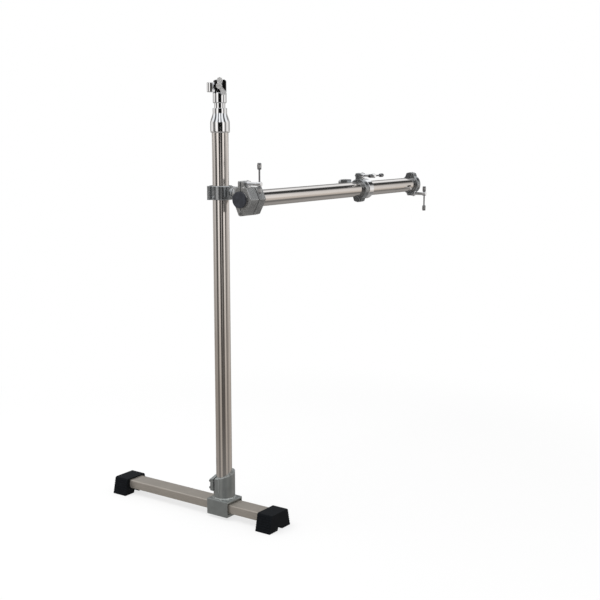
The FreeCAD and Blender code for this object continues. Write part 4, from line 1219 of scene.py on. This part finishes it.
@dataclass
class Leg:
    """Base tube, feet and casting."""

    foot_edge: float = 0.5 * MM
    casting_edge: float = 0.6 * MM
    screw_head: float = 3.5 * MM
    screw_head_height: float = 3.0 * MM
    screw_shank: float = 2.0 * MM

    def cap_screws(self, screws: CapScrew) -> None:
        """Set the four screws that hold the cap.

        Args:
            screws: The tree that makes cap screws.
        """
        low, high = (Vector(corner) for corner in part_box("socket_cap_screws"))
        seat = low.x + self.screw_head_height
        spots = [(Vector((seat, across, up)), -Axis.X.way())
                 for across in (low.y + self.screw_head, high.y - self.screw_head)
                 for up in (low.z + self.screw_head, high.z - self.screw_head)]
        sizes = {"Head Radius": self.screw_head, "Head Height": self.screw_head_height,
                 "Shank Radius": self.screw_shank, "Shank Length": high.x - seat}
        mesh = screws.mesh("cap_screw_set", spots, STEEL, sizes)
        show("cap_screw_set", mesh, STEEL, ["socket_cap_screws"])

    def build(self, screws: CapScrew) -> None:
        """Dress the tube, soften the mouldings and castings, and set the screws.

        Args:
            screws: The tree that makes cap screws.
        """
        dress("base_tube", BASE_STEEL)
        for node in ("foot_left", "foot_right"):
            softened(node, RUBBER, self.foot_edge)
        for node in ("leg_socket", "socket_cap"):
            softened(node, LEG_CASTING, self.casting_edge)
        self.cap_screws(screws)
        dress("base_lock_screws", STEEL)


@dataclass
class Post:
    """Post tube, bell, upper tube and rod clamp."""

    edge: float = 0.5 * MM
    wing_edge: float = 1.2 * MM
    wing_steps: int = 3
    bell_radius: float = 22.2 * MM
    bell_foot_edge: float = 3.0 * MM
    bell_foot_steps: int = 4
    bell_skirt: float = 23.0 * MM
    bell_taper: float = 21.0 * MM
    collar_radius: float = 16.25 * MM
    collar_edge: float = 0.8 * MM
    collar_round: float = 0.3
    hold: float = 0.3 * MM
    seat_radius: float = 19.1 * MM
    seat_depth: float = 19.0 * MM
    throat_radius: float = 14.3 * MM
    taper_steps: int = 18

    def bell(self) -> None:
        """Turn the bell with a flowing shoulder between its skirt and its collar."""
        low, high = (Vector(corner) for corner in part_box("post_bell"))
        axis = ((low.x + high.x) / 2, (low.y + high.y) / 2)
        foot, top = low.z, high.z
        profile = [(self.seat_radius, foot)]
        for step in range(self.bell_foot_steps + 1):
            angle = math.pi / 2 * step / self.bell_foot_steps
            out = self.bell_radius - self.bell_foot_edge / 2 * (1 - math.sin(angle))
            profile.append((out, foot + self.bell_foot_edge * (1 - math.cos(angle))))
        profile += [(self.bell_radius, foot + self.bell_foot_edge + self.hold),
                    (self.bell_radius, foot + self.bell_skirt - self.hold)]
        for step in range(self.taper_steps + 1):
            share = step / self.taper_steps
            eased = (share + share * share * (3 - 2 * share)) / 2
            radius = self.bell_radius + (self.collar_radius - self.bell_radius) * eased
            profile.append((radius, foot + self.bell_skirt + self.bell_taper * share))
        inset = self.collar_edge * self.collar_round
        profile += [(self.collar_radius, foot + self.bell_skirt + self.bell_taper + self.hold),
                    (self.collar_radius, top - self.collar_edge - self.hold),
                    (self.collar_radius, top - self.collar_edge),
                    (self.collar_radius - inset, top - inset),
                    (self.collar_radius - self.collar_edge, top),
                    (self.throat_radius, top),
                    (self.throat_radius, foot + self.seat_depth),
                    (self.seat_radius, foot + self.seat_depth)]
        show("bell_turning", lathe("bell_turning", axis, profile), CHROME, ["post_bell"])

    def build(self) -> None:
        """Dress the tubes and soften the plated pieces."""
        dress("post_tube", POST_STEEL)
        dress("upper_tube", CHROME)
        for node in ("bell_bushing", "tube_guide"):
            dress(node, NYLON)
        self.bell()
        for node in ("tilter_socket", "tilter_head"):
            softened(node, CHROME, self.edge)
        softened("pivot_bolt", SATIN_CHROME, self.edge)
        softened("tilter_wing", SATIN_CHROME, self.wing_edge, self.wing_steps)


@dataclass
class PostClamp:
    """Ring round the post, with its link and fasteners."""

    edge: float = 0.5 * MM

    def build(self) -> None:
        """Soften the castings and dress the fasteners."""
        for node in ("post_clamp_back", "post_clamp_front"):
            softened(node, DARK_CASTING, self.edge)
        for node in ("post_clamp_pin", "post_clamp_bolt", "post_clamp_nut", "swivel_bolt"):
            dress(node, STEEL)
        dress("swivel_washer", PLASTIC)


@dataclass
class TubeClamp:
    """One hinged clamp on the arm, with its T-bolt."""

    name: str
    castings: tuple[str, ...]
    casting: SatinCasting
    bar_axis: Axis
    edge: float = 0.4 * MM
    casting_edge: float = 1.3 * MM
    bolt_radius: float = 3.84 * MM
    bolt_tail: float = 4.0 * MM
    thread_depth: float = 0.2 * MM
    thread_pitch: float = 1.25 * MM
    knob_radius: float = 4.6 * MM
    knob_length: float = 15.0 * MM
    ridge_count: int = 20
    ridge: float = 0.45 * MM
    ridge_sunk: float = 0.4
    ridge_share: float = 0.5

    def knob_ridges(self, ridges: RidgeRing) -> None:
        """Set grip ridges round both knobs on the bar.

        Args:
            ridges: The tree that makes rings of ridges.
        """
        node = f"{self.name}_bar_knobs"
        low, high = (Vector(corner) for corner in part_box(node))
        way = self.bar_axis.way()
        reach = (high - low).dot(way) / 2 - self.knob_length / 2
        spots = [(middle(node) + way * reach * side, way) for side in (1, -1)]
        sizes = {"Count": self.ridge_count, "Radius": self.knob_radius - self.ridge * self.ridge_sunk,
                 "Ridge": self.ridge, "Length": self.knob_length * self.ridge_share}
        name = f"{self.name}_knob_ridges"
        add(name, ridges.mesh(name, spots, BRIGHT_STEEL, sizes), BRIGHT_STEEL, node)

    def bolt_thread(self, threads: Thread) -> None:
        """Wind the thread round the T-bolt's tail.

        Args:
            threads: The tree that makes threads.
        """
        node = f"{self.name}_bolt"
        low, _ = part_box(node)
        spot = middle(node)
        spot.x = low[0] + self.thread_depth
        height = self.bolt_tail - 2 * self.thread_depth
        sizes = {"Radius": self.bolt_radius, "Turns": height / self.thread_pitch, "Height": height,
                 "Depth": self.thread_depth}
        name = f"{self.name}_thread"
        add(name, threads.mesh(name, [(spot, Axis.X.way())], STEEL, sizes), STEEL, node)

    def build(self, ridges: RidgeRing, threads: Thread) -> None:
        """Soften the castings and the T-bolt, dress the rest, and add ridges and thread.

        Args:
            ridges: The tree that makes rings of ridges.
            threads: The tree that makes threads.
        """
        for node in self.castings:
            softened(node, self.casting, self.casting_edge)
        softened(f"{self.name}_bolt", CHROME, self.edge)
        dress(f"{self.name}_washer", BRIGHT_STEEL)
        dress(f"{self.name}_bar", DARK_CHROME)
        softened(f"{self.name}_bar_knobs", DARK_CHROME, self.edge)
        dress(f"{self.name}_pin", STEEL)
        self.knob_ridges(ridges)
        self.bolt_thread(threads)


@dataclass
class Arm:
    """Arm tube with its plugs, the stop collar, and the rod holder beside it."""

    plug_edge: float = 0.4 * MM
    thumb_radius: float = 6.5 * MM
    thumb_length: float = 8.0 * MM
    rear_head: float = 3.4 * MM
    rear_head_height: float = 3.4 * MM
    rear_shank: float = 2.0 * MM
    ridge_count: int = 26
    ridge: float = 0.5 * MM
    ridge_sunk: float = 0.4
    ridge_share: float = 0.6

    def thumb_ridges(self, ridges: RidgeRing) -> None:
        """Set grip ridges round the thumb screw's head.

        Args:
            ridges: The tree that makes rings of ridges.
        """
        low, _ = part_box("rod_holder_screw")
        spot = middle("rod_holder_screw")
        spot.x = low[0] + self.thumb_length / 2
        sizes = {"Count": self.ridge_count, "Radius": self.thumb_radius - self.ridge * self.ridge_sunk,
                 "Ridge": self.ridge, "Length": self.thumb_length * self.ridge_share}
        mesh = ridges.mesh("thumb_ridges", [(spot, Axis.X.way())], CHROME, sizes)
        add("thumb_ridges", mesh, CHROME, "rod_holder_screw")

    def rear_screw(self, screws: CapScrew) -> None:
        """Set the screw that closes the arm clamp's rear jaw.

        Args:
            screws: The tree that makes cap screws.
        """
        low, high = (Vector(corner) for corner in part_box("arm_clamp_rear_screw"))
        spot = middle("arm_clamp_rear_screw")
        spot.x = high.x - self.rear_head_height
        sizes = {"Head Radius": self.rear_head, "Head Height": self.rear_head_height,
                 "Shank Radius": self.rear_shank, "Shank Length": spot.x - low.x}
        mesh = screws.mesh("rear_screw", [(spot, Axis.X.way())], BRIGHT_STEEL, sizes)
        show("rear_screw", mesh, BRIGHT_STEEL, ["arm_clamp_rear_screw"])

    def build(self, ridges: RidgeRing, screws: CapScrew) -> None:
        """Dress the tube and soften the plugs, the collar and the rod holder.

        Args:
            ridges: The tree that makes rings of ridges.
            screws: The tree that makes cap screws.
        """
        dress("arm_tube", ARM_STEEL)
        for node in ("arm_plug_near", "arm_plug_far"):
            softened(node, PLASTIC, self.plug_edge)
        softened("stop_collar", CHROME, self.plug_edge)
        dress("stop_collar_screw", STEEL)
        softened("rod_holder_screw", CHROME, self.plug_edge)
        softened("rod_holder", DARK_CASTING, self.plug_edge)
        self.rear_screw(screws)
        self.thumb_ridges(ridges)


def main() -> None:
    """Build the studio and each sub-assembly in order."""
    logging.basicConfig(level=logging.INFO, format="%(name)s: %(message)s")
    ridges = RidgeRing()
    threads = Thread()
    screws = CapScrew()
    Studio().build()
    Leg().build(screws)
    Post().build()
    PostClamp().build()
    arm_castings = ("arm_clamp_body", "arm_clamp_jaw", "arm_clamp_rear_jaw")
    TubeClamp("arm_clamp", arm_castings, GREY_CASTING, Axis.Z).build(ridges, threads)
    Arm().build(ridges, screws)
    TubeClamp("mid_clamp", ("mid_clamp_body", "mid_clamp_jaw"), DARK_CASTING, Axis.Y).build(ridges, threads)
    TubeClamp("end_clamp", ("end_clamp_body", "end_clamp_jaw"), DARK_CASTING, Axis.Z).build(ridges, threads)


if __name__ == "__main__":
    main()
